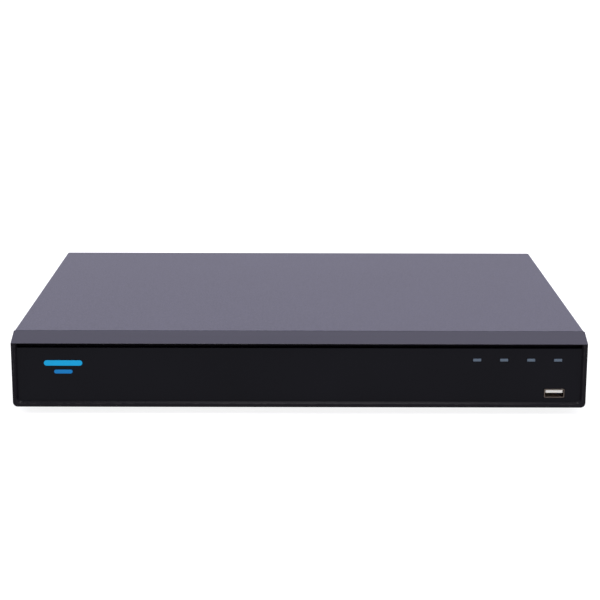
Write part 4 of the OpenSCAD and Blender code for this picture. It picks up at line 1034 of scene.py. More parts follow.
def bayonet_barrel(length):
    """A nickel barrel from its flange to its tip, with two lugs, along +Y."""
    barrel = lathe([(0, 0), (5.6, 0), (5.6, 3.2), (5.3, 3.6), (4.85, 3.6), (4.6, 3.9), (4.6, 4.4),
                    (4.8, 4.7), (4.8, length - 1.9), (4.6, length - 1.7), (4.6, length - 1.2),
                    (4.8, length - 1.0), (4.75, length - 0.3), (4.5, length), (4.25, length),
                    (4.05, length - 0.3), (4.05, 2), (0, 2)], 40)
    for side in (-1, 1):
        lug = lathe([(0, 4.6), (0.9, 4.6), (1.0, 4.7), (1.0, 5.3), (0.85, 5.5), (0, 5.5)], 14)
        bmesh.ops.transform(lug, matrix=Matrix.Translation((0, (length - 4.6) * MM, 0)) @
                            Matrix.Rotation(side * math.pi / 2, 4, "Z"), verts=lug.verts)
        spare = mesh_from(lug, "lug")
        barrel.from_mesh(spare)
        bpy.data.meshes.remove(spare)
    return barrel


jack_low, jack_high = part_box("bnc_jacks")
jack_face, jack_tip = jack_low.y / MM, jack_high.y / MM
jack_length = jack_tip - jack_face
jack_spots = oriented((x, jack_face, z) for x, y, z in node_centres("bnc_jacks"))
clean_copy("input_moulding", "bnc_housing", SOCKET_BLACK, radius=0.25)
repeat_piece("bayonet_barrels", bayonet_barrel(jack_length), jack_spots, NICKEL, slot="nickel",
             nodes="bnc_jacks")
inner = [(0, 2), (2.4, 2), (2.4, jack_length - 5.3), (2.2, jack_length - 5), (1.25, jack_length - 5),
         (1.0, jack_length - 5.4), (1.0, 3.2), (0, 3.2)]
repeat_piece("input_insulators", lathe(inner, 28), jack_spots, WHITE_PTFE, slot="white_plastic",
             nodes="bnc_insulators")
contact = [(0, 3.3), (0.92, 3.3), (0.92, jack_length - 5.7), (0.75, jack_length - 5.45),
           (0.55, jack_length - 5.45), (0.5, jack_length - 5.8), (0.5, 5), (0, 5)]
repeat_piece("input_contacts", lathe(contact, 16), jack_spots, GOLD, slot="contact_gold",
             nodes="bnc_contacts")
print("inputs:", len(jack_spots), "barrel", round(jack_length, 1), "mm")

# %% [markdown]
# ## Audio sockets
# Four phono sockets sit in two columns: a rolled ring that the plug's shell grips, and a
# coloured moulding with the hole for its pin. White is for sound in and red for sound out.

# %% Audio sockets
clean_copy("audio_moulding", "rca_housing", SOCKET_BLACK, radius=0.25)
ring_low, ring_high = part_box("rca_jacks")
ring_length = (ring_high.y - ring_low.y) / MM
ring_spots = oriented((x, ring_low.y / MM, z) for x, y, z in node_centres("rca_jacks"))
ring = [(4.15, 0), (4.15, ring_length - 0.3), (3.98, ring_length), (3.5, ring_length),
        (3.35, ring_length - 0.3), (3.35, 0)]
repeat_piece("audio_rings", lathe(ring, 40, closed=True), ring_spots, NICKEL, slot="nickel",
             nodes="rca_jacks")
insert = [(0, 0), (3.3, 0), (3.3, ring_length - 0.7), (3.1, ring_length - 0.35), (2.1, ring_length - 0.35),
          (1.65, ring_length - 0.9), (1.65, 0.9), (0, 0.9)]
for colour_name, plastic, row in (("white", AUDIO_WHITE, 1), ("red", AUDIO_RED, -1)):
    middle = (ring_low.z + ring_high.z) / 2 / MM
    row_spots = [s for s in ring_spots if (s[0][2] - middle) * row > 0]
    made = repeat_piece("audio_inserts_" + colour_name, lathe(insert, 32), row_spots, plastic,
                        slot="audio_plastic")
    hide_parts("rca_inserts")

# %% [markdown]
# ## Display, network and data sockets
# These shells are thin sheet, bent and plated. Inside each is a moulding with rows of
# gold-flashed contacts, which the repeat tree lays out at their standard pitch. The network
# socket has a green and a yellow lamp in its upper corners.

# %% Shells and mouldings
for copy, node, material, slot_name in (
        ("display_shell", "vga_shell", NICKEL, "nickel"), ("display_moulding", "vga_insert", DISPLAY_BLUE, "display_blue"),
        ("display_jack_screws", "vga_jack_screws", NICKEL, "nickel"), ("video_shell", "hdmi_shell", NICKEL, "nickel"),
        ("video_tongue", "hdmi_tongue", SOCKET_BLACK, "socket_black"),
        ("network_shell", "lan_usb_shell", NICKEL, "nickel"),
        ("network_moulding", "lan_usb_insert", SOCKET_BLACK, "socket_black")):
    clean_copy(copy, node, material, radius=0.1, steps=2)

# %% Contacts and lamps
net_low, net_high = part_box("lan_usb_shell")
net_x, net_face, net_floor = (net_low.x + net_high.x) / 2 / MM, net_high.y / MM, net_low.z / MM
usb_heights = (net_floor + 4.1, net_floor + 11.6)
usb_spring = prism([(-11, 0), (-1.6, 0), (-1.2, -0.06), (-1.2, -0.2), (-2.2, -0.24), (-3.4, -0.12),
                    (-11, -0.12)], -0.5, 0.5)
repeat_piece("rear_data_contacts", usb_spring,
             [((net_x + (i - 1.5) * 2.5, net_face - 0.3, z + 0.1), BACK) for z in usb_heights for i in range(4)],
             GOLD, slot="contact_gold")
net_spring = prism([(-11.5, 3.6), (-9.5, 3.8), (-3.2, -0.9), (-3.3, -1.1), (-3.55, -1.1), (-9.6, 3.5),
                    (-11.5, 3.35)], -0.22, 0.22)
repeat_piece("network_contacts", net_spring,
             [((net_x + (i - 3.5) * 1.02, net_face, net_floor + 22.3 - 2.6), BACK) for i in range(8)],
             GOLD, slot="contact_gold")
video_low, video_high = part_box("hdmi_shell")
video_x = (video_low.x + video_high.x) / 2 / MM
video_z = (video_low.z + video_high.z) / 2 / MM
pin = rounded_blocks([((-0.16, -6, 0), (0.16, 0, 0.1))], 0.03, 1)
repeat_piece("video_contacts", pin,
             [((video_x + (i - 4.5) * 1.0 + shift, video_high.y / MM - 1.9, video_z + height), BACK)
              for height, shift, count in ((0.68, 0, 10), (-0.56, 0.5, 9)) for i in range(count)],
             GOLD, slot="contact_gold")
lamp_shape = rounded_blocks([((-1.3, -3, -0.9), (1.3, 0.25, 0.9))], 0.2)
for side, lamp_name, tint in ((-1, "link_lamp", (0.05, 0.42, 0.08)), (1, "traffic_lamp", (0.6, 0.36, 0.03))):
    lens = finish(lamp_name + "_lens", tint, 0.22, texture=(1500, 0.004), patches=(400, 0.1), Transmission_Weight=0.2)
    repeat_piece(lamp_name, lamp_shape.copy(),
                 [((net_x + side * 5.6, net_face - 0.2, net_floor + 27.2), BACK)], lens, slot="led_white")
lamp_shape.free()

# %% [markdown]
# ## Alarm terminals, power inlet and switch
# A green plug of eight screw terminals pushes into a header of the same green. Beside it are
# the round power inlet with its pin, and a rocker with the usual marks for on and off, which
# are moulded as thin raised shapes.

# %% Alarm plug, inlet and rocker
plug_low, plug_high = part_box("alarm_plug")


def pins_of_header(face):
    """1 for faces of the metal pins inside the green header."""
    centre = face.calc_center_median()
    inside = abs(centre.z - plug_low.z - 5.4 * MM) < 0.75 * MM and centre.y < plug_low.y + 8 * MM
    return int(inside and face.calc_area() < 6e-6 and centre.y > board_high.y - 10 * MM)


clean_copy("alarm_header_body", "alarm_header", [TERMINAL_GREEN, TIN], radius=0.12, pick=pins_of_header)
clean_copy("alarm_plug_body", "alarm_plug", TERMINAL_GREEN, body="plug", radius=0.2)
clean_copy("alarm_plug_screw_heads", "alarm_plug_screws", SCREW_STEEL, body="plug", radius=0.08)
inlet_low, inlet_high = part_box("dc_jack")
inlet_x = (inlet_low.x + inlet_high.x) / 2
pin_z = board_high.z + 5.5 * MM


def near_pin(face):
    """1 for faces of the pin in the middle of the inlet."""
    centre = face.calc_center_median()
    return int(math.hypot(centre.x - inlet_x, centre.z - pin_z) < 1.3 * MM and centre.y > inlet_high.y - 10 * MM
               and face.calc_area() < 1.2e-5)


clean_copy("power_inlet", "dc_jack", [SOCKET_BLACK, NICKEL], radius=0.2, pick=near_pin)
clean_copy("switch_bezel", "rocker_housing", [ROCKER_BLACK, TIN], radius=0.2,
           pick=lambda face: int(face.calc_center_median().y < board_high.y - 13.4 * MM))
clean_copy("switch_rocker", "power_rocker", ROCKER_BLACK, body="rocker", radius=0.35, steps=3)

# %% Marks on the rocker
rocker_low, rocker_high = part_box("power_rocker")
rocker_x = (rocker_low.x + rocker_high.x) / 2 / MM
rocker_z = (rocker_low.z + rocker_high.z) / 2 / MM
MARK = finish("rocker_mark", (0.7, 0.7, 0.68), 0.4, texture=(2200, 0.003), patches=(300, 0.06))
rocker_tilt = math.radians(8)


def on_rocker(shape, height):
    """Moves a mark that is drawn about the origin to a height on the rocker's face."""
    half_tilt = math.atan2(0.9 * (1 if height > 0 else -1), 7.7)
    face_y = 3.3 + 0.9 * abs(height) / 7.7
    place = (Matrix.Translation(Vector((rocker_x, panel_face - 2.2, rocker_z)) * MM)
             @ Matrix.Rotation(rocker_tilt, 4, "X")
             @ Matrix.Translation(Vector((0, face_y - 0.05, height)) * MM)
             @ Matrix.Rotation(-half_tilt, 4, "X"))
    bmesh.ops.transform(shape, matrix=place, verts=shape.verts)
    return shape


marks = bmesh.new()
for mark_shape in (on_rocker(rounded_blocks([((-0.35, 0, -1.5), (0.35, 0.14, 1.5))], 0.05, 1), 4.4),
                   on_rocker(lathe([(1.6, 0), (1.6, 0.14), (1.1, 0.14), (1.1, 0)], 32, closed=True), -4.4)):
    spare = mesh_from(mark_shape, "mark")
    marks.from_mesh(spare)
    bpy.data.meshes.remove(spare)
place_mesh("rocker_marks", mesh_from(marks, "rocker_marks"), MARK, body="rocker", slot="rocker_black")

# %% [markdown]
# ## Fan
# A 40 mm fan: a square frame, a hub with its motor inside, and seven twisted blades. One blade
# is bent from a thin plate, steeper at the hub than at the tip, and the repeat tree stands seven
# of them round the hub.

# %% Fan
clean_copy("fan_housing", "fan_frame", FAN_BLACK, radius=0.3)
rotor_low, rotor_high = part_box("fan_rotor")
rotor_y0, rotor_y1 = rotor_low.y / MM, rotor_high.y / MM
fan_mid = ((rotor_low.x + rotor_high.x) / 2 / MM, 0, (rotor_low.z + rotor_high.z) / 2 / MM)
frame_low, frame_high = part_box("fan_frame")
fan_mid = ((frame_low.x + frame_high.x) / 2 / MM, 0, (frame_low.z + frame_high.z) / 2 / MM)
BLADES = 7


def fan_blade():
    """A thin blade from the hub to the tip, along +X, twisted and cupped."""
    shape = bmesh.new()
    middle = (rotor_y0 + rotor_y1) / 2
    rows = []
    for i in range(6):
        along = i / 5
        radius = 9.9 + 8.2 * along
        pitch = math.radians(50 - 14 * along)
        row = []
        for side in (0.4, -0.4):
            for k in (range(7) if side > 0 else range(6, -1, -1)):
                chord = (k / 6 - 0.5) * (8.6 + 1.6 * along)
                cup = 0.9 * (1 - (2 * k / 6 - 1) ** 2)
                thick = side * (1 - 0.75 * abs(2 * k / 6 - 1) ** 3)
                across = chord * math.cos(pitch) - (cup + thick) * math.sin(pitch)
                depth = chord * math.sin(pitch) + (cup + thick) * math.cos(pitch)
                depth = max(-3.6, min(3.6, depth * 0.92))
                bend = across / radius
                row.append(shape.verts.new((radius * math.cos(bend) * MM, (middle + depth) * MM,
                                            radius * math.sin(bend) * MM)))
        rows.append(row)
    count = len(rows[0])
    for first, second in zip(rows, rows[1:]):
        for k in range(count):
            shape.faces.new((first[k], first[(k + 1) % count], second[(k + 1) % count], second[k]))
    shape.faces.new(rows[0])
    shape.faces.new(rows[-1])
    bmesh.ops.recalc_face_normals(shape, faces=shape.faces)
    return shape


hub = [(0, rotor_y0), (8.6, rotor_y0), (9.7, rotor_y0 + 0.3), (10.3, rotor_y0 + 1.1), (10.3, rotor_y1),
       (9.0, rotor_y1), (8.9, rotor_y0 + 1.4), (1, rotor_y0 + 1.3), (1, rotor_y1 - 0.6), (0, rotor_y1 - 0.5)]
hub_piece = repeat_piece("fan_hub", lathe(hub, 48), [(fan_mid, BACK)], FAN_BLACK, body="fan", slot="fan_black")
blades = repeat_piece("fan_blades", fan_blade(),
                      [(fan_mid, (0, i * 2 * math.pi / BLADES, 0)) for i in range(BLADES)], FAN_BLACK,
                      body="fan", slot="fan_black")
for made in (hub_piece, blades):
    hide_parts("fan_rotor")
sticker = [(0, rotor_y0 + 0.04), (7.6, rotor_y0 + 0.04), (7.6, rotor_y0 - 0.06), (0, rotor_y0 - 0.06)]
repeat_piece("fan_hub_label", lathe(sticker, 48), [(fan_mid, BACK)], PAPER, body="fan", slot="fan_black")

# %% [markdown]
# ## Mainboard
# The board is four-layer laminate, cut to its outline and coated green. Chips sit on it with
# rows of bent leads, and hundreds of small resistors and capacitors fill the space between
# them. The scatter tree strews those over the free areas, never closer than a few millimetres.

# %% Board and large parts
mainboard = clean_copy("mainboard_plate", "mainboard", BOARD_GREEN, radius=0.05, steps=1)
for copy, node, material, radius, slot_name in (
        ("processor_body", "main_processor", CHIP_BLACK, 0.2, "chip_black"),
        ("memory_bodies", "memory_chips", CHIP_BLACK, 0.15, "chip_black"),
        ("decoder_bodies", "video_decoders", CHIP_BLACK, 0.18, "chip_black"),
        ("inductor_bodies", "inductors", FERRITE, 0.5, "chip_black"),
        ("cell_holder", "coin_cell_holder", SOCKET_BLACK, 0.25, "socket_black"),
        ("data_headers", "sata_headers", DATA_BLUE, 0.2, "data_blue"),
        ("wire_header_shrouds", "wire_headers", IVORY, 0.2, "white_plastic")):
    clean_copy(copy, node, material, radius=radius)

# %% [markdown]
# The heat sink is an extruded aluminium bar, sawn to length and anodised black: ten thin fins on
# a base. The repeat tree sets one fin ten times across the base.

# %% Heat sink, coin cell and buzzer
FINS, FIN_WIDTH, SINK_BASE = 10, 1.2, 3.0
sink_low, sink_high = (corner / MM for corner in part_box("heat_sink"))
sink_base = rounded_blocks([(sink_low, (sink_high.x, sink_high.y, sink_low.z + SINK_BASE))], 0.2)
repeat_piece("heat_sink_base", sink_base, [((0, 0, 0), BACK)], ANODISED, slot="anodised_black",
             nodes="heat_sink")
fin = rounded_blocks([((0, sink_low.y, sink_low.z + SINK_BASE - 0.3),
                       (FIN_WIDTH, sink_high.y, sink_high.z))], 0.2)
fin_step = (sink_high.x - sink_low.x - FIN_WIDTH) / (FINS - 1)
repeat_piece("heat_sink_fins", fin, [((sink_low.x + i * fin_step, 0, 0), BACK) for i in range(FINS)], ANODISED,
             slot="anodised_black", nodes="heat_sink")
cell_low, cell_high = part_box("coin_cell")
cell_height = (cell_high.z - cell_low.z) / MM
cell_mid = ((cell_low.x + cell_high.x) / 2 / MM, (cell_low.y + cell_high.y) / 2 / MM, cell_low.z / MM)
cell_profile = [(0, 0), (8.8, 0), (9.2, 0.3), (9.85, 0.5), (10, 0.8), (10, cell_height - 0.25),
                (9.75, cell_height), (0, cell_height)]
repeat_piece("coin_cell_can", lathe(cell_profile, 64), [(cell_mid, UP)], STAINLESS, slot="nickel",
             nodes="coin_cell")
buzz_low, buzz_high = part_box("buzzer")
buzz_height = (buzz_high.z - buzz_low.z) / MM
buzz_mid = ((buzz_low.x + buzz_high.x) / 2 / MM, (buzz_low.y + buzz_high.y) / 2 / MM, buzz_low.z / MM)
buzz_profile = [(0, 0), (5.8, 0), (6, 0.4), (6, buzz_height - 0.6), (5.6, buzz_height), (2, buzz_height),
                (1.4, buzz_height - 0.4), (1.2, buzz_height - 2.4), (0, buzz_height - 2.4)]
repeat_piece("buzzer_can", lathe(buzz_profile, 48), [(buzz_mid, UP)], SOCKET_BLACK, slot="socket_black",
             nodes="buzzer")

# %% [markdown]
# ## Capacitors
# An electrolytic capacitor is an aluminium can in a printed sleeve, crimped near its foot, with
# a cross stamped in its bare top so that it can vent. One can is made at unit size; each place
# on the board has its own width and height. An attribute named bare marks the bare metal.

# %% Capacitors


def mark_faces(shape, mark, test):
    """Writes 1 to a face attribute where a test of the face's middle holds."""
    layer = shape.faces.layers.float.get(mark) or shape.faces.layers.float.new(mark)
    for face in shape.faces:
        face[layer] = float(test(face.calc_center_median() / MM))
    return shape


def capacitor_can():
    """A can of radius 1 and height 1, in millimetres, from the board up along +Y."""
    can = lathe([(0, 0), (0.9, 0), (0.97, 0.02), (0.97, 0.07), (0.9, 0.1), (0.9, 0.13), (0.99, 0.17),
                 (1, 0.2), (1, 0.93), (0.95, 0.96), (0.88, 0.965), (0.86, 0.985), (0.8, 0.99), (0, 0.99)], 36)
    mark_faces(can, "bare", lambda p: p.y > 0.97 and math.hypot(p.x, p.z) < 0.9)
    for turn in (0, math.pi / 2):
        groove = rounded_blocks([((-0.62, 0.965, -0.035), (0.62, 0.998, 0.035))], 0)
        bmesh.ops.rotate(groove, cent=(0, 0, 0), matrix=Matrix.Rotation(turn + 0.6, 3, "Y"), verts=groove.verts)
        spare = mesh_from(groove, "groove")
        can.from_mesh(spare)
        bpy.data.meshes.remove(spare)
    return can


def node_boxes(node):
    """Low and high corner of each separate solid of a node, in millimetres."""
    boxes = []
    shape = bmesh.new()
    shape.from_mesh(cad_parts[node].data)
    bmesh.ops.remove_doubles(shape, verts=shape.verts, dist=2e-6)
    seen = set()
    for start in shape.verts:
        if start in seen:
            continue
        seen.add(start)
        island, waiting = [], [start]
        while waiting:
            vert = waiting.pop()
            island.append(vert.co / MM)
            for edge in vert.link_edges:
                other = edge.other_vert(vert)
                if other not in seen:
                    seen.add(other)
                    waiting.append(other)
        boxes.append(tuple(Vector(pick(c[i] for c in island) for i in range(3)) for pick in (min, max)))
    shape.free()
    return boxes


can_spots = []
for can_low, can_high in node_boxes("capacitors"):
    width, height = (can_high.x - can_low.x) / 2, can_high.z - can_low.z
    can_spots.append((((can_low.x + can_high.x) / 2, (can_low.y + can_high.y) / 2, deck), UP,
                      (width, height, width)))
repeat_piece("capacitor_cans", capacitor_can(), can_spots, SLEEVE, slot="capacitor_sleeve", nodes="capacitors")
print("capacitors:", len(can_spots))

# %% [markdown]
# ## Leads
# Flat chips stand on leads that leave the side of the body, bend down and spread a foot on the
# board. One lead is drawn as an outline and given its width. The repeat tree then sets rows of
# them round each chip, four sides on the decoders and two on the memory.

# %% Chip leads
gull_wing = prism([(-0.1, 0.62), (0.35, 0.62), (0.62, 0.14), (1.1, 0.14), (1.1, 0.02), (0.5, 0.02),
                   (0.26, 0.5), (-0.1, 0.5)], -0.15, 0.15)


def lead_row(body_low, body_high, sides, pitch):
    """Places for leads on the named sides of a chip: +Y, -Y, +X or -X."""
    middle = (body_low + body_high) / 2
    turns = {"+Y": 0, "-Y": math.pi, "+X": -math.pi / 2, "-X": math.pi / 2}
    row = []
    for side in sides:
        across_x = side in ("+Y", "-Y")
        length = (body_high.x - body_low.x) if across_x else (body_high.y - body_low.y)
        count = int((length - 0.8) / pitch)
        for i in range(count):
            along = (i - (count - 1) / 2) * pitch
            edge = {"+Y": body_high.y, "-Y": body_low.y, "+X": body_high.x, "-X": body_low.x}[side]
            place = (middle.x + along, edge, deck) if across_x else (edge, middle.y + along, deck)
            row.append((place, (0, 0, turns[side])))
    return row


leads = []
for chip_low, chip_high in node_boxes("video_decoders"):
    leads += lead_row(chip_low, chip_high, ("+Y", "-Y", "+X", "-X"), 0.8)
for chip_low, chip_high in node_boxes("memory_chips"):
    leads += lead_row(chip_low, chip_high, ("+Y", "-Y"), 0.8)
repeat_piece("chip_leads", gull_wing, leads, TIN, slot="nickel")
print("leads:", len(leads))

# %% [markdown]
# ## Small parts
# Resistors are black film on ceramic and capacitors are brown blocks. Both have tinned ends,
# which an attribute marks. They keep clear of the large parts, so the free areas of the board
# are worked out first: a grid of small squares, less every square that a large part covers.

# %% Small parts


def chip_part(length, width, height):
    """A small part with tinned ends, standing on the board, its length along X."""
    half = length / 2
    band = length * 0.22
    part = rounded_blocks([((-half, -width / 2, 0), (-half + band, width / 2, height)),
                           ((half - band, -width / 2, 0), (half, width / 2, height)),
                           ((-half + band * 0.9, -width / 2 + 0.03, 0.02),
                            (half - band * 0.9, width / 2 - 0.03, height - 0.04))], 0.04, 1)
    return mark_faces(part, "tinned", lambda p: abs(p.x) > half - band)


def free_board(margin, square=4.0):
    """A mesh of the board's free squares, in plan, at the height of its top."""
    taken = [box for node in ("main_processor", "heat_sink", "memory_chips", "video_decoders", "capacitors",
                              "inductors", "coin_cell_holder", "sata_headers", "wire_headers", "buzzer",
                              "bnc_housing", "rca_housing", "vga_insert", "hdmi_shell", "lan_usb_insert",
                              "alarm_header", "dc_jack", "chassis_screws", "fan_frame")
             for box in node_boxes(node)]
    shape = bmesh.new()
    x = board_low.x / MM + 3
    while x < board_high.x / MM - 3 - square:
        y = board_low.y / MM + 3
        while y < board_high.y / MM - 3 - square:
            clear = all(x + square + margin < low.x or x - margin > high.x or y + square + margin < low.y
                        or y - margin > high.y for low, high in taken)
            if clear:
                corners = [(x, y), (x + square, y), (x + square, y + square), (x, y + square)]
                shape.faces.new([shape.verts.new((a * MM, b * MM, deck * MM)) for a, b in corners])
            y += square
        x += square
    return mesh_from(shape, "free_board")


def scatter_piece(name, shape, spacing, density, seed, material, slot_name):
    """One shape strewn over the free squares of the board."""
    piece = helper_object(mesh_from(shape, name + "_one"))
    mesh = grow(SCATTER, free_board(1.6), Piece=piece, Spacing=spacing * MM, Density=density, Seed=seed,
                Material=material)
    bpy.data.objects.remove(piece)
    print(name, "faces:", len(mesh.polygons))
    return place_mesh(name, mesh, slot=slot_name)


scatter_piece("resistors", chip_part(1.6, 0.8, 0.45), 4.2, 40000.0, 11, RESISTOR, "chip_black")
scatter_piece("ceramic_capacitors", chip_part(2.0, 1.25, 0.9), 7.0, 14000.0, 29, CERAMIC, "chip_black")

# %% [markdown]
# ## Header pins and solder joints
# The shrouded headers hold square tinned pins, and every pin and socket leg comes through the
# board as a small cone of solder underneath. The joints are what show when the board is seen
# from below.

# %% Pins and joints
square_pin = rounded_blocks([((-0.32, -0.32, 0), (0.32, 0.32, 6.6))], 0.08, 1)
pin_spots = []
for header_low, header_high in node_boxes("wire_headers"):
    middle = (header_low + header_high) / 2
    count = max(2, int((header_high.x - header_low.x - 2) / 2.54) + 1)
    pin_spots += [((middle.x + (i - (count - 1) / 2) * 2.5, middle.y, deck + 0.4), BACK) for i in range(count)]
repeat_piece("header_pins", square_pin, pin_spots, TIN, slot="nickel")
joint = lathe([(0, -1.1), (0.35, -1.1), (0.5, -0.9), (0.75, -0.25), (1.0, 0), (0, 0.02)], 14)
joint_spots = [((x, y, board_low.z / MM), UP) for (x, y, z), turn in pin_spots]
for x, y, z in node_centres("bnc_jacks"):
    joint_spots += [((x + dx, board_high.y / MM - depth, board_low.z / MM), UP)
                    for dx, depth in ((-2.5, 6), (2.5, 6), (0, 12))]
repeat_piece("solder_joints", joint, joint_spots, TIN, slot="nickel")

# %% [markdown]
# ## Front board
# A small board behind the fascia carries four lamps, the front socket and a plug for its cable.
# The lamps shine into a clear bar whose ends are the four windows.

# %% Front board, lamps and socket
front_low, front_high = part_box("front_board")


def connector_of_board(face):
    """1 for faces of the cable connector behind the front board."""
    return int(face.calc_center_median().y > front_low.y + 1.65 * MM)


clean_copy("front_board_plate", "front_board", [BOARD_GREEN, IVORY], radius=0.08, steps=1,
           pick=connector_of_board)
clean_copy("lamp_bodies", "indicator_leds", LED_WHITE, radius=0.12)
SHELL_STEEL = finish("shell_steel", (0.17, 0.14, 0.12), 0.3, metal=1.0, texture=(900, 0.003), patches=(160, 0.1))
clean_copy("front_socket_shell", "front_usb_shell", SHELL_STEEL, radius=0.1)
tongue_low, tongue_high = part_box("front_usb_tongue")


def contact_strip(face):
    """1 for the gold strips under the white tongue."""
    return int(face.calc_center_median().z < tongue_low.z + 0.15 * MM)


clean_copy("front_socket_tongue", "front_usb_tongue", [IVORY, GOLD], radius=0.06, steps=1, pick=contact_strip)

# %% [markdown]
# ## Hard drive
# The drive is a die-cast box with a pressed steel lid. Its label is left blank. Inside, two
# polished discs turn on a hub, and an arm with a copper coil reaches over them. A drive is
# sealed, so the inside is only seen when the parts are taken apart.

# %% Drive case, lid and board
clean_copy("drive_casting", "drive_case", CASTING, radius=0.35)
clean_copy("drive_lid_plate", "drive_lid", STAINLESS, radius=0.3)
lid_low, lid_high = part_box("drive_lid")
lid_x, lid_y, lid_z = lid_low.x / MM, lid_low.y / MM, lid_high.z / MM
label = rounded_blocks([((lid_x + 14, lid_y + 16, lid_z - 0.02), (lid_x + 76, lid_y + 84, lid_z + 0.12))], 0.05, 1)
place_mesh("blank_drive_label", mesh_from(label, "label"), PAPER, slot="drive_steel")
lid_screws = [((lid_x + 4.5 + dx * 136, lid_y + 4.5 + dy * 90.6, lid_z - 1.2), UP) for dx in (0, 0.5, 1) for dy in (0, 1)]
repeat_piece("drive_lid_screws", screw_blank(2.1, 0.9, 1.1, 2), lid_screws, SCREW_STEEL, slot="drive_steel")
drive_board_low, drive_board_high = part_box("drive_board")


def drive_connector(face):
    """1 for faces of the black connector at the end of the drive's board."""
    return int(face.calc_center_median().x > drive_board_high.x - 7.5 * MM)


clean_copy("drive_board_plate", "drive_board", [DRIVE_GREEN, SOCKET_BLACK], radius=0.08, steps=1,
           pick=drive_connector)

# %% Discs, hub and arm
disc_low, disc_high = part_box("drive_platters")
disc_mid = ((disc_low.x + disc_high.x) / 2 / MM, (disc_low.y + disc_high.y) / 2 / MM, disc_low.z / MM)
hub_profile = [(3.06, 0), (15.5, 0), (15.5, 2.6), (13, 2.6), (13, 9.4), (15.2, 9.4), (15.5, 9.6),
               (15.5, 11.3), (15.2, 11.5), (3.3, 11.5), (3.06, 11.3)]
hub_part = repeat_piece("disc_hub", lathe(hub_profile, 64, closed=True), [(disc_mid, UP)], CASTING,
                        body="platters", slot="drive_casting")
disc = [(13.02, 0), (47.35, 0), (47.5, 0.15), (47.5, 1.05), (47.35, 1.2), (13.02, 1.2)]
discs = repeat_piece("discs", lathe(disc, 128, closed=True),
                     [((disc_mid[0], disc_mid[1], disc_mid[2] + z), UP) for z in (2.7, 7.9)], MIRROR,
                     body="platters", slot="platter_mirror")
clamp_spots = [((disc_mid[0] + 9.5 * math.cos(i * math.pi / 3), disc_mid[1] + 9.5 * math.sin(i * math.pi / 3),
                 disc_mid[2] + 11.45), UP) for i in range(6)]
clamp = repeat_piece("hub_screws", screw_blank(1.7, 0.7, 0.9, 2), clamp_spots, SCREW_STEEL, body="platters",
                     slot="screw_steel")
for made in (hub_part, discs):
    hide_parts("drive_platters")
COPPER = finish("coil_copper", (0.55, 0.2, 0.08), 0.32, metal=1.0, texture=(1, 0.05), patches=(60, 0.2),
                streak=(2600, 2600, 200))
arm_low, arm_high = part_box("drive_actuator")
arm_pivot = Vector((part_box("drive_case")[0].x + 110 * MM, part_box("drive_case")[0].y + 30 * MM, 0))


def coil_faces(face):
    """1 for faces of the coil, which lies on the far side of the pivot from the discs."""
    away = face.calc_center_median() - arm_pivot
    return int(away.x > 7.6 * MM and away.x > -away.y * 0.5)


clean_copy("drive_arm", "drive_actuator", [CASTING, COPPER], body="actuator", radius=0.12, pick=coil_faces)

# %% [markdown]
# ## Cables
# Four cables run inside. Each is drawn along the route that the mechanical model fixes: the
# tree smooths the route and draws a profile along it. The data cable is one round jacket, the
# drive's power is four coloured wires side by side, and the front board's is a bundle of seven.

# %% Cables and their plugs
drive_floor_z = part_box("drive_case")[0].z / MM
plug_x, data_y, power_y = -30.0, -74.6, -49.1
data_route = [(-15, -74.6, 15.2), (-6, -74.4, 15.4), (1, -69, 17), (4, -56, 21), (4, -34, 27), (2, -10, 33),
              (-1, 12, 37), (-4, 28, 39), (-6, 38, 38), (-6, 42, 34)]
power_route = [(-15, -49, 15.2), (-7, -48.6, 15.2), (-3, -42, 16), (-4, -28, 18), (-10, -12, 22), (-22, 2, 27),
               (-38, 12, 31), (-52, 20, 32), (-60, 26, 30), (-62, 28, 25.4)]
front_route = [(90, -121.5, 18.5), (86, -121.5, 17.8), (80, -121.5, 15.5), (70, -121, 12), (52, -120.6, 10.6),
               (34, -119, 10.6), (24, -112, 10.6), (20.5, -98, 10.6), (20.5, -60, 10.6), (20.5, -24, 10.8),
               (22, -4, 14), (28, 12, 22), (36, 22, 28), (40, 27, 28.6), (40, 28, 25.4)]
fan_route = [(139.7, 121, 14), (138.4, 114, 18), (136, 104, 24), (131, 95, 26), (129, 92, 23.4)]
switch_route = [(-168, 106.5, 30), (-166, 100, 30.5), (-159, 92, 30), (-150, 86, 28), (-145, 82, 23.4)]
cable = sweep_piece("data_cable", data_route, [(0, 0, 2.15)], RED_JACKET, sides=20, slot="cable_red")
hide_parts("sata_cable")
for i, (jacket_name, jacket) in enumerate((("yellow", YELLOW_JACKET), ("black", BLACK_JACKET),
                                           ("black_two", BLACK_JACKET), ("red", RED_JACKET))):
    shift = i - 1.5
    wire = sweep_piece("drive_power_wire_" + jacket_name,
                       [(x + shift * 1.1, y - shift * 2.0, z) for x, y, z in power_route], [(0, 0, 0.82)],
                       jacket, slot="cable_black")
    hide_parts("drive_power_cable")
ring_of_wires = [(0, 0, 0.6)] + [(1.22 * math.cos(i * math.pi / 3), 1.22 * math.sin(i * math.pi / 3), 0.6)
                                 for i in range(6)]
bundle = sweep_piece("front_board_wires", front_route, ring_of_wires, WHITE_JACKET, sides=10, slot="cable_white")
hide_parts("front_board_cable")
for label_name, route, shift in (("fan", fan_route, (0, 0, 0.8)), ("switch", switch_route, (0.8, 0, 0))):
    for sign, jacket_name, jacket in ((-1, "black", BLACK_JACKET), (1, "red", RED_JACKET)):
        lead = sweep_piece(label_name + "_lead_" + jacket_name,
                           [tuple(p + sign * s for p, s in zip(point, shift)) for point in route],
                           [(0, 0, 0.58)], jacket, sides=10, slot="cable_black")
        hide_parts("low_voltage_leads")


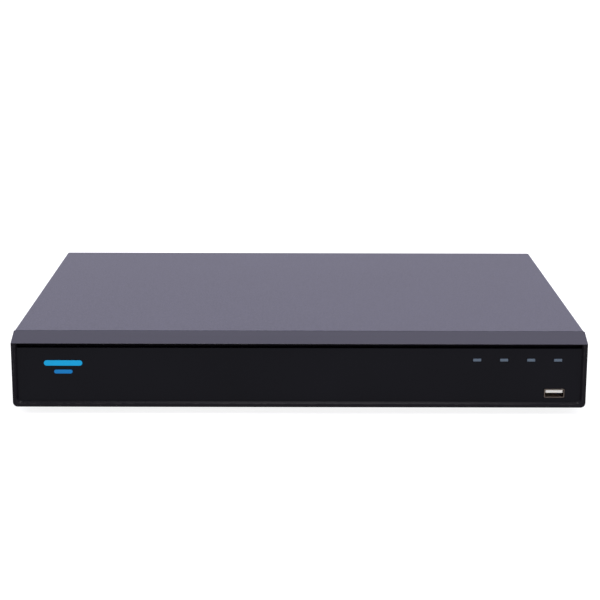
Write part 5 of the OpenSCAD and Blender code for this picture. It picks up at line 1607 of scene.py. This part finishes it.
def plug_body(name, boxes, material, slot_name, node):
    """A moulded plug at the end of a cable."""
    made = place_mesh(name, mesh_from(rounded_blocks(boxes, 0.35, 2), name), material, slot=slot_name)
    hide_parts(node)


low_z, top_z = drive_floor_z + 1.2, drive_floor_z + 7.4
plug_body("data_plugs", [((plug_x, data_y - 6.5, low_z), (plug_x + 11, data_y + 6.5, top_z)),
                         ((plug_x + 10.5, data_y - 4, low_z + 0.8), (plug_x + 15.1, data_y + 4, top_z - 0.8)),
                         ((plug_x - 5, data_y - 5, drive_floor_z + 3), (plug_x + 1, data_y + 5, drive_floor_z + 4.6)),
                         ((-9.4, 35, deck + 8.9), (-2.6, 49, deck + 15)),
                         ((-8.6, 38, deck + 14.5), (-3.4, 46, 34.1)),
                         ((-7.3, 37, deck + 2), (-4.7, 47, deck + 9))], BLACK_JACKET, "cable_black", "sata_cable")
plug_body("power_plugs", [((plug_x, power_y - 13.5, low_z), (plug_x + 10, power_y + 13.5, top_z)),
                          ((plug_x + 9.5, power_y - 11, low_z + 0.6), (plug_x + 15.1, power_y + 11, top_z - 0.6)),
                          ((plug_x - 5, power_y - 13, drive_floor_z + 3), (plug_x + 1, power_y + 13, drive_floor_z + 4.6))],
          BLACK_JACKET, "cable_black", "drive_power_cable")
plug_body("power_board_plug", [((-67.6, 25.1, deck + 7), (-56.4, 30.9, 25.5)),
                               ((-67, 25.8, deck + 5.5), (-57, 30.2, deck + 7.2))], IVORY, "white_plastic",
          "drive_power_cable")
plug_body("front_board_plugs", [((88, -123.9, 15.9), (92, -119.1, 21.1)), ((33.6, 25.4, deck + 7), (46.4, 30.6, 25.5)),
                                ((34, 26, deck + 5.5), (46, 30, deck + 7.2))], IVORY, "white_plastic",
          "front_board_cable")
plug_body("low_voltage_plugs", [box for x, y in ((129, 92), (-145, 82)) for box in
                                (((x - 3, y - 2.4, deck + 7), (x + 3, y + 2.4, 23.5)),
                                 ((x - 2.3, y - 1.7, deck + 5.5), (x + 2.3, y + 1.7, deck + 7.2)))], IVORY,
          "white_plastic", "low_voltage_leads")
shown = [name for name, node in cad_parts.items() if not node.hide_render]
print("mechanical nodes still shown:", shown)
